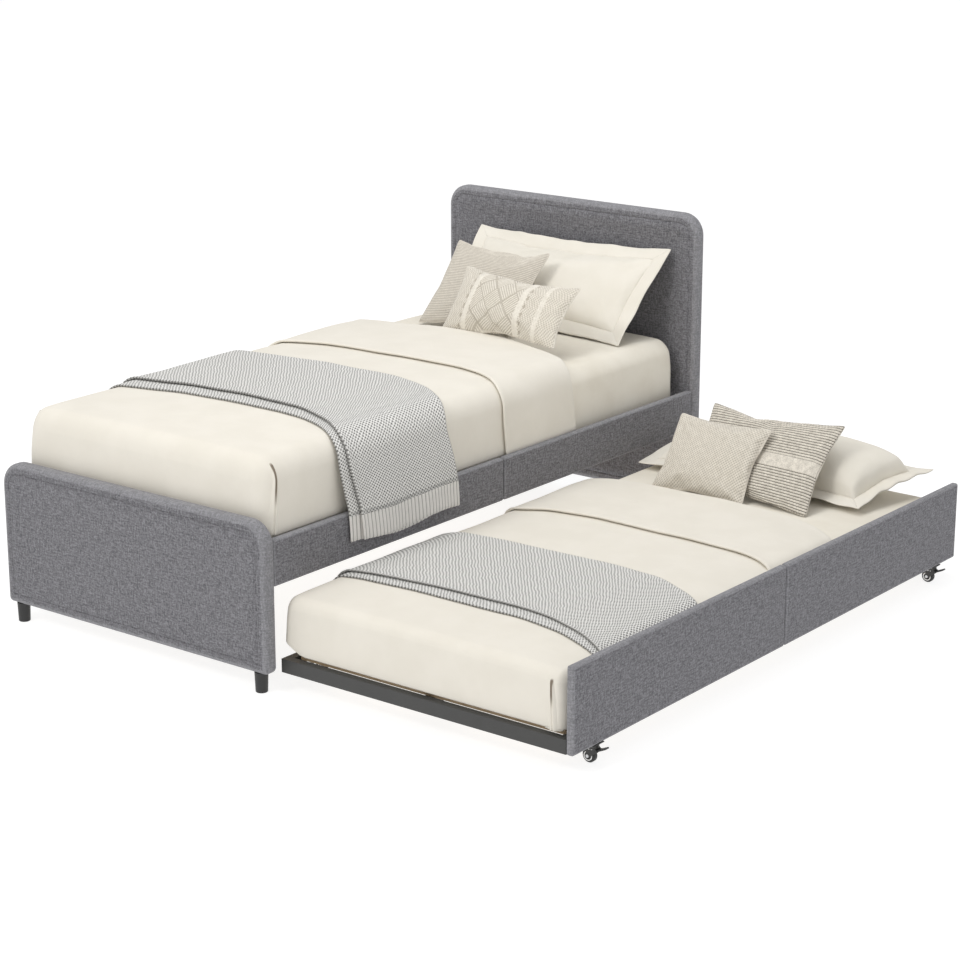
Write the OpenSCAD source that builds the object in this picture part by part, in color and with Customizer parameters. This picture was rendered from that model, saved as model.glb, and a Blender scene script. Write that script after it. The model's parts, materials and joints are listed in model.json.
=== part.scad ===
// Upholstered single bed with a pull-out trundle bed, shown with the trundle out and both beds made.
// Millimetres. +X points to the side the trundle comes out of, +Y to the head end, +Z up.
// The origin is on the floor, under the middle of the whole object's box with the trundle out.
// Inside in_frame() the same axes start at the bed's wall-side foot corner.

/* [Bed] */
// Width across the headboard and the footboard
bed_w = 1010; // [980:5:1060]
// Length over the headboard and the footboard
bed_l = 2108; // [2090:2:2130]
// Height of the headboard's top edge
headboard_h = 1000; // [900:10:1100]
// Height of the footboard's top edge
footboard_h = 480; // [450:5:520]
// Thickness of the two upholstered boards
board_t = 48; // [44:1:52]
// Radius of the boards' two top corners
corner_r = 70; // [40:5:90]
// Height of the legs under the boards
leg_h = 57; // [50:1:60]

/* [Side rails] */
// Height of the side rails' bottom edge
rail_z = 295; // [293:1:297]
// Height of a side rail
rail_h = 130; // [126:1:134]
// Thickness of a side rail
rail_t = 24; // [22:1:26]
// How far the rails' outer faces stand behind the boards' edges
rail_inset = 6; // [4:1:10]

/* [Bed deck] */
// Number of slats under the bed's mattress
bed_slat_count = 13; // [9:1:16]
// Width of a bed slat
bed_slat_w = 68; // [50:1:80]
// Thickness of a bed slat
bed_slat_t = 16; // [12:1:16]

/* [Trundle] */
// How far the trundle stands out from its stowed place
trundle_out = 970; // [965:1:985]
// Height of the trundle's top edge
panel_top = 290; // [280:1:291]
// Thickness of the trundle's upholstered panel
panel_t = 23; // [21:1:25]
// Gap between the trundle and each board
trundle_gap = 7; // [5:1:9]
// Number of slats under the trundle's mattress
trundle_slat_count = 11; // [8:1:14]

/* [Casters] */
// Height of a caster, from the floor to the top of its plate
caster_h = 55; // [55:0.5:58]
// Diameter of a caster's wheel
wheel_d = 38; // [36:1:38]
// Angle of the brake pedals, 0 when released
pedal_angle = 0; // [0:1:18]

/* [Bedding] */
// Height of the bed mattress's top
mattress_top = 612; // [600:1:620]
// Height of the trundle mattress's top
trundle_mattress_top = 258; // [250:1:258]

/* [Hidden] */
$fn = 48;
SOFT_FN = 20;
LINEN = "#6d6c71";
STEEL = "#8d9094";
BLACK = "#2b2b2c";
PINE = "#c9a877";
BOARD_WOOD = "#b99768";
COTTON = "#ece7dc";
SHEET = "#e2dccf";
KNIT = "#cfcfc9";
NATURAL = "#d6cfc2";

// Boards
skin_t = 9;                                   // foam and cloth over a board's core
base_r = 15;                                  // a board's two bottom corners
head_y = bed_l - board_t;                     // the headboard's front face
mid_x = bed_w / 2;
mid_y = bed_l / 2;
stud_r = 4;
stud_l = 28;
leg_inset = 40;
leg_top_r = 19;
leg_bottom_r = 17;

// Side rails, their brackets, plates and screws
rail_x1 = bed_w - rail_inset;                 // outer face of the trundle-side rail
rail_x0 = rail_x1 - rail_t;                   // its inner face
rail_top = rail_z + rail_h;
plate_t = 3;
bracket_z0 = rail_z + 23;
bracket_z1 = rail_z + 113;
bracket_leg_x = 40;
bracket_leg_y = 45;
bolt_zs = [bracket_z0 + 20, bracket_z1 - 20];
bolt_r = 4;
bolt_head = [7, 5];                           // radius and height
bolt_l = plate_t + skin_t + 20;
bolt_x = 22;                                  // from a rail's inner face
screw_r = 3;
screw_head = [5.5, 3];
screw_l = plate_t + 15;
bore_gap = 0.15;
joiner_l = 180;
joiner_z0 = rail_z + 45;
joiner_z1 = rail_z + 113;
ledge_w = 30;
ledge_z = rail_z + 39;                        // top of the ledge, under the slats
ledge_drop = 30;
ledge_y0 = board_t + 55;
rail_screws_at = concat(
    [for (z = bolt_zs) [board_t + 28, z]],
    [for (dy = [30, 70]) [mid_y - dy, (joiner_z0 + joiner_z1) / 2]],
    [for (dy = [150, 450, 750]) [mid_y - dy, ledge_z - 16]]
);

// Bed deck
slat_x0 = bed_w - rail_x0 + 10;
slat_x1 = rail_x0 - 10;
slat_y0 = ledge_y0 + 8;
strap_t = 1.5;
strap_w = 25;
deck_z = ledge_z + bed_slat_t;

// Trundle
panel_x1 = rail_x1 + trundle_out;
panel_x0 = panel_x1 - panel_t;
trundle_y0 = board_t + trundle_gap;
trundle_y1 = head_y - trundle_gap;
tube_w = 25;
tube_h = 39;
tube_wall = 1.5;
frame_x0 = rail_x1 + 9;
frame_y0 = trundle_y0 + 2;
frame_y1 = trundle_y1 - 2;
frame_z0 = caster_h;
frame_z1 = frame_z0 + tube_h;
t_slat_t = 12;
t_slat_w = 70;
t_ledge_w = 20;
t_ledge_t = 2;
t_ledge_z = frame_z1 - t_slat_t;
inner_x0 = frame_x0 + tube_w;
inner_x1 = panel_x0 - tube_w;
inner_y0 = frame_y0 + tube_w;
inner_y1 = frame_y1 - tube_w;
center_tube = [30, 20];
corner_leg = 60;
corner_z0 = frame_z0 + 5;
corner_z1 = frame_z0 + 23;
corner_bolt_l = 12;
corner_bolt_z = frame_z0 + 14;
panel_bolt_l = tube_w + 15;
panel_bolt_ys = [300, 700];                   // from each end of the trundle
t_joiner_y = 80;
t_joiner_z = [frame_z0 + 60, frame_z0 + 180];

// Casters: each is [x, y of its swivel axis, x offsets of its plate's screws]
front_axis_x = panel_x1 - 18;
back_axis_x = frame_x0 + 17;
front_inset = 112;
back_inset = 150;
CASTERS = [
    [front_axis_x, trundle_y0 + front_inset, [-12, 8]],
    [front_axis_x, trundle_y1 - front_inset, [-12, 8]],
    [back_axis_x, trundle_y0 + back_inset, [-4]],
    [back_axis_x, trundle_y1 - back_inset, [-4]]
];
wheel_r = wheel_d / 2;
wheel_w = 16;
trail = 10;
wheel_axis = [-trail, wheel_r];               // x and z, from the swivel axis on the floor
hub_half = 9.3;
leg_in = 9.5;                                 // inner face of a fork leg, from the middle
leg_out = 11.5;
axle_r = 2.5;
kingpin_r = 4;
cap_r = 15;
cap_z = [41, 50];
plate_z = caster_h - 2.5;
caster_screw_dy = 18;
caster_screw_r = 2;
pedal_axis = [12, 36];
pedal_pin_r = 2;
pedal_reach = 42;
pedal_half = 8;
nose_l = 7;
nose_r = 1.5;
nose_angle = -124;                            // released; it meets the tread 18 degrees on

// The whole object's box on the floor
total_w = front_axis_x + pedal_reach;

// Bedding
mattress_x = [55, bed_w - 55];
mattress_y = [board_t + 18, head_y - 18];
duvet_x = [37, bed_w - 37];
duvet_y = [board_t + 4, 1516];
duvet_top = mattress_top + 32;
duvet_hem = rail_z + 117;
fold_y = 1100;
fold_t = 8;
throw_y = [355, 880];
throw_top = duvet_top + 16;
throw_hem = rail_z + 45;
t_mattress_x = [frame_x0 + 9, panel_x0 - 15];
t_mattress_y = [trundle_y0 + 25, trundle_y1 - 18];
t_duvet_x = [frame_x0 + 0.5, panel_x0 - 6.5];
t_duvet_y = [trundle_y0 + 17, 1505];
t_duvet_top = trundle_mattress_top + 12;
t_fold_y = 1120;
t_fold_t = 8;
t_throw_y = [285, 795];
t_throw_top = t_duvet_top + 14;
soft_gap = 0.3;

// Cushions: bottom edge's middle, [tilt, turn], [width, height], [bulge in front, behind]
SHAM = [[528, 1800, 616], [49, 1], [760, 362], [50, 30]];
RIBBED = [[379, 1645, 615], [48, -1.5], [392, 339], [32, 30]];
LUMBAR = [[612, 1520, 655], [55.5, -7.5], [511, 226], [45, 12]];
T_SHAM = [[1439, 1691, 0], [7, -0.8], [797, 350], [105, 14]];
T_STRIPED = [[1494, 1567, 0], [45.6, 0.2], [473, 325], [22, 12]];
T_KNIT = [[1361, 1538, 0], [51.8, -1.1], [337, 265], [40, 10]];

// ---------- helpers ----------
module in_frame() {
    translate([-total_w / 2, -bed_l / 2, 0]) children();
}

// A box between two opposite corners
module block(low, high) {
    translate(low) cube(high - low);
}

// The same thing on both sides of the bed, or at both ends of it
module both_sides() {
    children();
    translate([bed_w, 0, 0]) mirror([1, 0, 0]) children();
}
module both_ends() {
    children();
    translate([0, bed_l, 0]) mirror([0, 1, 0]) children();
}

// A cylinder along +X or +Y from a point
module along_x(p, r, l) {
    translate(p) rotate([0, 90, 0]) cylinder(r = r, h = l);
}
module along_y(p, r, l) {
    translate(p) rotate([-90, 0, 0]) cylinder(r = r, h = l);
}

// An outline in X and Z, made y0 to y1 thick
module thick_xz(y0, y1) {
    translate([0, y1, 0]) rotate([90, 0, 0]) linear_extrude(y1 - y0) children();
}

// A soft block with rounded edges
module soft_block(low, high, r) {
    hull() {
        for (x = [low.x + r, high.x - r], y = [low.y + r, high.y - r], z = [low.z + r, high.z - r])
            translate([x, y, z]) sphere(r, $fn = SOFT_FN);
    }
}

// A cushion standing on the middle of its bottom edge: [place, [tilt, turn], [w, h], [front, back]]
module cushion(c, lift) {
    edge_r = 7;
    w = c[2][0];
    h = c[2][1];
    front = c[3][0];
    back = c[3][1];
    translate(c[0] + [0, 0, lift]) rotate([0, 0, c[1][1]]) rotate([c[1][0], 0, 0]) hull() {
        for (x = [edge_r - w / 2, w / 2 - edge_r], y = [edge_r, h - edge_r])
            translate([x, y, 0]) sphere(edge_r, $fn = 12);
        translate([0, h / 2, (front - back) / 2])
            scale([0.34 * w, 0.34 * h, (front + back) / 2]) sphere(1, $fn = 24);
    }
}

// ---------- boards and legs ----------
module board_outline(w, h, top_r, bottom_r) {
    translate([bottom_r, 0]) square([w - 2 * bottom_r, h - top_r]);
    translate([0, bottom_r]) square([w, h - top_r - bottom_r]);
    translate([top_r, 0]) square([w - 2 * top_r, h]);
    for (x = [top_r, w - top_r]) translate([x, h - top_r]) circle(top_r);
    for (x = [bottom_r, w - bottom_r]) translate([x, bottom_r]) circle(bottom_r);
}

module board_core(h) {
    difference() {
        translate([skin_t, 0, leg_h]) thick_xz(skin_t, board_t - skin_t)
            board_outline(bed_w - 2 * skin_t, h - leg_h - skin_t, corner_r - skin_t, 2);
        for (x = [leg_inset, bed_w - leg_inset])
            translate([x, board_t / 2, leg_h - 1]) cylinder(r = stud_r + bore_gap, h = stud_l + 3);
        bracket_bores();
    }
}

module board_cover(h) {
    difference() {
        translate([0, 0, leg_h]) thick_xz(0, board_t)
            board_outline(bed_w, h - leg_h, corner_r, base_r);
        translate([skin_t, 0, leg_h - 5]) thick_xz(skin_t, board_t - skin_t)
            board_outline(bed_w - 2 * skin_t, h - leg_h - skin_t + 5, corner_r - skin_t, 2);
        bracket_bores();
    }
}

// Bores for the bracket bolts, in the inner side of the footboard
module bracket_bores() {
    both_sides() {
        for (z = bolt_zs)
            along_y([rail_x0 - bolt_x, board_t - skin_t - 22, z], bolt_r + bore_gap, 40);
    }
}

module at_head() {
    translate([0, bed_l, 0]) mirror([0, 1, 0]) children();
}

module headboard_core() {
    in_frame() color(BOARD_WOOD) at_head() board_core(headboard_h);
}
module headboard_cover() {
    in_frame() color(LINEN) at_head() board_cover(headboard_h);
}
module footboard_core() {
    in_frame() color(BOARD_WOOD) board_core(footboard_h);
}
module footboard_cover() {
    in_frame() color(LINEN) board_cover(footboard_h);
}

// A tapered leg with its threaded stud
module leg(x, y) {
    foot_r = leg_bottom_r - 1.5;
    in_frame() color(BLACK) translate([x, y, 0]) {
        cylinder(r1 = foot_r, r2 = leg_bottom_r, h = 1.5);
        translate([0, 0, 1.5]) cylinder(r1 = leg_bottom_r, r2 = leg_top_r, h = leg_h - 1.5);
        translate([0, 0, leg_h - 1]) cylinder(r = stud_r, h = stud_l + 1);
    }
}
module leg_foot_wall() {
    leg(leg_inset, board_t / 2);
}
module leg_foot_room() {
    leg(bed_w - leg_inset, board_t / 2);
}
module leg_head_wall() {
    leg(leg_inset, bed_l - board_t / 2);
}
module leg_head_room() {
    leg(bed_w - leg_inset, bed_l - board_t / 2);
}

// ---------- side rails ----------
// The foot half of the room-side rail, from the footboard to the seam in the middle
module rail_half() {
    edge_r = 6;
    difference() {
        translate([0, board_t, 0]) rotate([90, 0, 0]) mirror([0, 0, 1])
            linear_extrude(mid_y - board_t - 0.5)
                translate([rail_x0, rail_z]) rounded_rect(rail_t, rail_h, edge_r);
        for (s = rail_screws_at)
            along_x([rail_x0 - 1, s[0], s[1]], screw_r + bore_gap, screw_l - plate_t + 3);
    }
}
module rounded_rect(w, h, r) {
    translate([r, 0]) square([w - 2 * r, h]);
    translate([0, r]) square([w, h - 2 * r]);
    for (x = [r, w - r], y = [r, h - r]) translate([x, y]) circle(r);
}
module to_wall_side() {
    translate([bed_w, 0, 0]) mirror([1, 0, 0]) children();
}
module rail_room_foot() {
    in_frame() color(LINEN) rail_half();
}
module rail_room_head() {
    in_frame() color(LINEN) at_head() rail_half();
}
module rail_wall_foot() {
    in_frame() color(LINEN) to_wall_side() rail_half();
}
module rail_wall_head() {
    in_frame() color(LINEN) to_wall_side() at_head() rail_half();
}

// The steel plate behind a rail's middle seam
module joiner() {
    difference() {
        block([rail_x0 - plate_t, mid_y - joiner_l / 2, joiner_z0],
              [rail_x0, mid_y + joiner_l / 2, joiner_z1]);
        both_ends() {
            for (dy = [30, 70])
                along_x([rail_x0 - plate_t - 1, mid_y - dy, (joiner_z0 + joiner_z1) / 2],
                        screw_r + bore_gap, plate_t + 2);
        }
    }
}
module rail_joiner_room() {
    in_frame() color(STEEL) joiner();
}
module rail_joiner_wall() {
    in_frame() color(STEEL) to_wall_side() joiner();
}

// The four corner brackets between rails and boards
module rail_brackets() {
    in_frame() color(STEEL) both_ends() both_sides() difference() {
        union() {
            block([rail_x0 - bracket_leg_x, board_t, bracket_z0],
                  [rail_x0, board_t + plate_t, bracket_z1]);
            block([rail_x0 - plate_t, board_t, bracket_z0],
                  [rail_x0, board_t + bracket_leg_y, bracket_z1]);
        }
        for (z = bolt_zs) {
            along_y([rail_x0 - bolt_x, board_t - 1, z], bolt_r + bore_gap, plate_t + 2);
            along_x([rail_x0 - plate_t - 1, board_t + 28, z], screw_r + bore_gap, plate_t + 2);
        }
    }
}

module bracket_bolts() {
    in_frame() color(STEEL) both_ends() both_sides() {
        for (z = bolt_zs) {
            along_y([rail_x0 - bolt_x, board_t + plate_t - bolt_l, z], bolt_r, bolt_l);
            along_y([rail_x0 - bolt_x, board_t + plate_t, z], bolt_head[0], bolt_head[1]);
        }
    }
}

module rail_screws() {
    in_frame() color(STEEL) both_ends() both_sides() {
        for (s = rail_screws_at) {
            along_x([rail_x0 - plate_t, s[0], s[1]], screw_r, screw_l);
            along_x([rail_x0 - plate_t - screw_head[1], s[0], s[1]], screw_head[0], screw_head[1]);
        }
    }
}

// ---------- bed deck ----------
module slat_ledge() {
    difference() {
        union() {
            block([rail_x0 - ledge_w, ledge_y0, ledge_z - plate_t],
                  [rail_x0, bed_l - ledge_y0, ledge_z]);
            block([rail_x0 - plate_t, ledge_y0, ledge_z - ledge_drop],
                  [rail_x0, bed_l - ledge_y0, ledge_z]);
        }
        both_ends() {
            for (dy = [150, 450, 750])
                along_x([rail_x0 - plate_t - 1, mid_y - dy, ledge_z - 16],
                        screw_r + bore_gap, plate_t + 2);
        }
    }
}
module slat_ledge_room() {
    in_frame() color(STEEL) slat_ledge();
}
module slat_ledge_wall() {
    in_frame() color(STEEL) to_wall_side() slat_ledge();
}

module bed_slats() {
    pitch = (bed_l - 2 * slat_y0 - bed_slat_w) / (bed_slat_count - 1);
    in_frame() color(PINE) for (i = [0 : bed_slat_count - 1])
        block([slat_x0, slat_y0 + i * pitch, ledge_z],
              [slat_x1, slat_y0 + i * pitch + bed_slat_w, deck_z]);
}

module slat_straps() {
    in_frame() color(BLACK) both_sides()
        block([bed_w / 4, slat_y0, ledge_z - strap_t],
              [bed_w / 4 + strap_w, bed_l - slat_y0, ledge_z]);
}

// ---------- the bed's bedding ----------
module mattress() {
    in_frame() color(SHEET)
        soft_block([mattress_x[0], mattress_y[0], deck_z + soft_gap],
                   [mattress_x[1], mattress_y[1], mattress_top], 45);
}

// A quilt over a mattress: a soft block, hollowed where the mattress lies, doubled at its head edge
module quilt(xs, ys, zs, under_x, under_y, under_z, fold_y0, fold_h, r) {
    difference() {
        union() {
            soft_block([xs[0], ys[0], zs[0]], [xs[1], ys[1], zs[1]], r);
            soft_block([xs[0] + r, fold_y0, zs[1] - 15],
                       [xs[1] - r, ys[1] - 2, zs[1] + fold_h], fold_h / 2);
        }
        block([under_x[0] - soft_gap, under_y, zs[0] - 1],
              [under_x[1] + soft_gap, ys[1] + 1, under_z + soft_gap]);
    }
}
module duvet() {
    in_frame() color(COTTON)
        quilt(duvet_x, duvet_y, [duvet_hem, duvet_top], mattress_x, mattress_y[0] - soft_gap,
              mattress_top, fold_y, fold_t, 24);
}

// The throw lies across the bed, is tucked in at the wall and hangs over the room-side rail
module throw() {
    wall = duvet_x[0] - soft_gap;
    room = rail_x1 + 0.5;
    cloth = 10;
    low = duvet_top + soft_gap;
    in_frame() color(KNIT) thick_xz(throw_y[0], throw_y[1]) polygon([
        [wall - cloth, rail_top + 7], [wall - cloth, low], [wall, throw_top],
        [duvet_x[1] + 10, throw_top], [room, throw_top - 14], [room + cloth, low - 32],
        [room + cloth, throw_hem], [room, throw_hem], [room, low - 40],
        [duvet_x[1] + 4, low], [wall, low], [wall, rail_top + 7]
    ]);
}

module sham_pillow() {
    in_frame() color(COTTON) cushion(SHAM, 0);
}
module ribbed_cushion() {
    in_frame() color(NATURAL) cushion(RIBBED, 0);
}
module lumbar_cushion() {
    in_frame() color(NATURAL) cushion(LUMBAR, 0);
}

// ---------- trundle ----------
module panel_half() {
    edge_r = 5;
    difference() {
        translate([0, trundle_y0, 0]) rotate([90, 0, 0]) mirror([0, 0, 1])
            linear_extrude(mid_y - trundle_y0 - 0.5) translate([panel_x0, frame_z0])
                rounded_rect(panel_t, panel_top - frame_z0, edge_r);
        for (dy = panel_bolt_ys)
            along_x([panel_x0 - 1, trundle_y0 + dy, corner_bolt_z], screw_r + bore_gap, 18);
        for (z = t_joiner_z)
            along_x([panel_x0 - 1, mid_y - t_joiner_y + 20, z + (z == t_joiner_z[0] ? 20 : -20)],
                    screw_r + bore_gap, 18);
        caster_screw_bores(CASTERS[0]);
    }
}
module trundle_panel_foot() {
    in_frame() color(LINEN) panel_half();
}
module trundle_panel_head() {
    in_frame() color(LINEN) at_head() panel_half();
}

module trundle_panel_joiner() {
    in_frame() color(STEEL) difference() {
        block([panel_x0 - plate_t, mid_y - t_joiner_y, t_joiner_z[0]],
              [panel_x0, mid_y + t_joiner_y, t_joiner_z[1]]);
        both_ends() {
            for (z = [t_joiner_z[0] + 20, t_joiner_z[1] - 20])
                along_x([panel_x0 - plate_t - 1, mid_y - t_joiner_y + 20, z],
                        screw_r + bore_gap, plate_t + 2);
        }
    }
}

// A rectangular tube between two corners, hollow along X or Y
module tube(low, high, along) {
    w = tube_wall;
    past = 1;
    hollow = along == "x" ? [-past, w, w] : [w, -past, w];
    difference() {
        block(low, high);
        block(low + hollow, high - hollow);
    }
}

module corner_bolt_bores() {
    for (d = [20, 45]) {
        along_y([inner_x0 + d, inner_y0 - 4, corner_bolt_z], screw_r + bore_gap, 12);
        along_x([inner_x0 - 4, inner_y0 + d, corner_bolt_z], screw_r + bore_gap, 12);
        along_y([inner_x1 - d, inner_y0 - 4, corner_bolt_z], screw_r + bore_gap, 12);
        along_x([inner_x1 - 8, inner_y0 + d, corner_bolt_z], screw_r + bore_gap, 12);
    }
}

module end_rail() {
    difference() {
        tube([frame_x0, frame_y0, frame_z0], [panel_x0, inner_y0, frame_z1], "x");
        corner_bolt_bores();
    }
}
module trundle_end_rail_foot() {
    in_frame() color(BLACK) end_rail();
}
module trundle_end_rail_head() {
    in_frame() color(BLACK) at_head() end_rail();
}

// The long rails carry the slats on a ledge welded to their inner side
module trundle_front_rail() {
    in_frame() color(BLACK) difference() {
        union() {
            tube([inner_x1, inner_y0, frame_z0], [panel_x0, inner_y1, frame_z1], "y");
            block([inner_x1 - t_ledge_w, inner_y0, t_ledge_z - t_ledge_t],
                  [inner_x1, inner_y1, t_ledge_z]);
        }
        both_ends() {
            corner_bolt_bores();
            for (dy = panel_bolt_ys)
                along_x([inner_x1 - 1, trundle_y0 + dy, corner_bolt_z],
                        screw_r + bore_gap, tube_w + 2);
            caster_screw_bores(CASTERS[0]);
        }
    }
}
module trundle_back_rail() {
    in_frame() color(BLACK) difference() {
        union() {
            tube([frame_x0, inner_y0, frame_z0], [inner_x0, inner_y1, frame_z1], "y");
            block([inner_x0, inner_y0, t_ledge_z - t_ledge_t],
                  [inner_x0 + t_ledge_w, inner_y1, t_ledge_z]);
        }
        both_ends() {
            corner_bolt_bores();
            caster_screw_bores(CASTERS[2]);
        }
    }
}
module trundle_center_rail() {
    x = (inner_x0 + inner_x1) / 2;
    in_frame() color(BLACK)
        tube([x - center_tube[0] / 2, inner_y0, t_ledge_z - center_tube[1]],
             [x + center_tube[0] / 2, inner_y1, t_ledge_z], "y");
}

module trundle_slats() {
    first = inner_y0 + 25;
    pitch = (bed_l - 2 * first - t_slat_w) / (trundle_slat_count - 1);
    in_frame() color(PINE) for (i = [0 : trundle_slat_count - 1])
        block([inner_x0 + 0.5, first + i * pitch, t_ledge_z],
              [inner_x1 - 0.5, first + i * pitch + t_slat_w, frame_z1]);
}

module trundle_corner_brackets() {
    in_frame() color(STEEL) both_ends() difference() {
        for (right = [0, 1]) {
            x = right == 1 ? inner_x1 : inner_x0;
            s = right == 1 ? -1 : 1;
            along = x + s * corner_leg;
            thin = x + s * plate_t;
            block([min(x, along), inner_y0, corner_z0], [max(x, along), inner_y0 + plate_t, corner_z1]);
            block([min(x, thin), inner_y0, corner_z0], [max(x, thin), inner_y0 + corner_leg, corner_z1]);
        }
        corner_bolt_bores();
    }
}

module trundle_bolts() {
    head_h = screw_head[1];
    in_frame() color(STEEL) both_ends() {
        for (d = [20, 45], x = [inner_x0 + d, inner_x1 - d]) {
            along_y([x, inner_y0 + plate_t - corner_bolt_l, corner_bolt_z], screw_r, corner_bolt_l);
            along_y([x, inner_y0 + plate_t, corner_bolt_z], screw_head[0], head_h);
        }
        for (d = [20, 45]) {
            along_x([inner_x0 + plate_t - corner_bolt_l, inner_y0 + d, corner_bolt_z],
                    screw_r, corner_bolt_l);
            along_x([inner_x0 + plate_t, inner_y0 + d, corner_bolt_z], screw_head[0], head_h);
            along_x([inner_x1 - plate_t, inner_y0 + d, corner_bolt_z], screw_r, corner_bolt_l);
            along_x([inner_x1 - plate_t - head_h, inner_y0 + d, corner_bolt_z],
                    screw_head[0], head_h);
        }
        for (dy = panel_bolt_ys) {
            along_x([inner_x1, trundle_y0 + dy, corner_bolt_z], screw_r, panel_bolt_l);
            along_x([inner_x1 - head_h, trundle_y0 + dy, corner_bolt_z], screw_head[0], head_h);
        }
        for (z = [t_joiner_z[0] + 20, t_joiner_z[1] - 20]) {
            along_x([panel_x0 - plate_t, mid_y - t_joiner_y + 20, z], screw_r, screw_l);
            along_x([panel_x0 - plate_t - head_h, mid_y - t_joiner_y + 20, z],
                    screw_head[0], head_h);
        }
        for (c = [CASTERS[0], CASTERS[2]]) caster_screws(c);
    }
}

// ---------- casters ----------
module caster_screw_places(c) {
    for (dx = c[2], dy = [-caster_screw_dy, caster_screw_dy])
        translate([c[0] + dx, c[1] + dy, plate_z]) children();
}
module caster_screw_bores(c) {
    caster_screw_places(c) translate([0, 0, -1]) cylinder(r = caster_screw_r + bore_gap, h = 14);
}
module caster_screws(c) {
    caster_screw_places(c) {
        cylinder(r = caster_screw_r, h = 12);
        translate([0, 0, -1.5]) cylinder(r = 3.5, h = 1.5);
    }
}

// Top plates with the upper race pressed into them
module caster_plates() {
    half = [17, 23];
    in_frame() color(STEEL) for (c = CASTERS) difference() {
        translate([c[0], c[1], 0]) {
            block([-half.x, -half.y, plate_z], [half.x, half.y, caster_h]);
            translate([0, 0, cap_z[1] + 0.2]) cylinder(r = 13, h = plate_z - cap_z[1]);
        }
        translate([c[0], c[1], cap_z[1] - 1])
            cylinder(r = kingpin_r + 0.05, h = caster_h - cap_z[1] + 2);
        caster_screw_bores(c);
    }
}

module caster_kingpins() {
    head_r = 6;
    head_h = 2.4;
    in_frame() color(STEEL) for (c = CASTERS) translate([c[0], c[1], 0]) {
        translate([0, 0, cap_z[0] - 0.5]) cylinder(r = kingpin_r, h = caster_h - cap_z[0]);
        translate([0, 0, cap_z[0] - 0.1 - head_h]) cylinder(r = head_r, h = head_h);
    }
}

// A fork: round cap and two swept legs
module fork(i) {
    c = CASTERS[i];
    in_frame() color(BLACK) translate([c[0], c[1], 0]) difference() {
        union() {
            translate([0, 0, cap_z[0]]) cylinder(r = cap_r, h = cap_z[1] - cap_z[0]);
            for (y = [-leg_out, leg_in]) thick_xz(y, y + leg_out - leg_in) {
                polygon([[-16, 20], [-12, 46], [9, 46], [17, 37], [13, 31], [-5, 15]]);
                translate(wheel_axis) circle(6);
                translate(pedal_axis) circle(5);
            }
        }
        translate([0, 0, cap_z[0] - 1]) cylinder(r = kingpin_r + 0.06, h = cap_z[1]);
        along_y([wheel_axis[0], -20, wheel_axis[1]], axle_r + 0.05, 40);
        along_y([pedal_axis[0], -20, pedal_axis[1]], pedal_pin_r + 0.06, 40);
    }
}

// A wheel with a bevelled tread and a hub that runs between the fork's legs
module wheel(i) {
    c = CASTERS[i];
    bevel = 3;
    half = wheel_w / 2;
    hub_r = 5;
    bore_r = axle_r + 0.06;
    in_frame() color(BLACK) translate([c[0] + wheel_axis[0], c[1], wheel_axis[1]])
        rotate([90, 0, 0]) rotate_extrude($fn = 64) polygon([
            [bore_r, -hub_half], [hub_r, -hub_half], [hub_r, -half], [wheel_r - bevel, -half],
            [wheel_r, bevel - half], [wheel_r, half - bevel], [wheel_r - bevel, half],
            [hub_r, half], [hub_r, hub_half], [bore_r, hub_half]
        ]);
}

module axle(i) {
    c = CASTERS[i];
    head_h = 1.2;
    ends = leg_out + 0.05;
    in_frame() color(STEEL) translate([c[0] + wheel_axis[0], c[1], wheel_axis[1]]) {
        along_y([0, -ends, 0], axle_r, 2 * ends);
        along_y([0, -ends - head_h, 0], 4.5, head_h);
        along_y([0, ends, 0], 4.5, head_h);
    }
}

// A brake pedal: a cross pin in the fork's legs, a treadle and a nose that meets the tread
module brake_pedal(i) {
    c = CASTERS[i];
    tip_z = 49.5;
    pin_half = leg_out;
    in_frame() color(BLACK) translate([c[0] + pedal_axis[0], c[1], pedal_axis[1]])
        rotate([0, pedal_angle, 0]) {
            along_y([0, -pin_half, 0], pedal_pin_r, 2 * pin_half);
            along_y([0, -leg_in + 0.3, 0], 3.5, 2 * (leg_in - 0.3));
            thick_xz(-pedal_half, pedal_half) {
                translate(-pedal_axis) polygon([
                    [12, 33.5], [24, 38], [pedal_reach, tip_z - 3], [pedal_reach, tip_z],
                    [pedal_reach - 3, tip_z], [22, 42], [12, 39.3]
                ]);
                rotate(nose_angle) translate([0, -nose_r]) square([nose_l, 2 * nose_r]);
                rotate(nose_angle) translate([nose_l, 0]) circle(nose_r);
            }
        }
}

module fork_1() {
    fork(0);
}
module fork_2() {
    fork(1);
}
module fork_3() {
    fork(2);
}
module fork_4() {
    fork(3);
}
module wheel_1() {
    wheel(0);
}
module wheel_2() {
    wheel(1);
}
module wheel_3() {
    wheel(2);
}
module wheel_4() {
    wheel(3);
}
module axle_1() {
    axle(0);
}
module axle_2() {
    axle(1);
}
module axle_3() {
    axle(2);
}
module axle_4() {
    axle(3);
}
module brake_pedal_1() {
    brake_pedal(0);
}
module brake_pedal_2() {
    brake_pedal(1);
}

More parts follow.
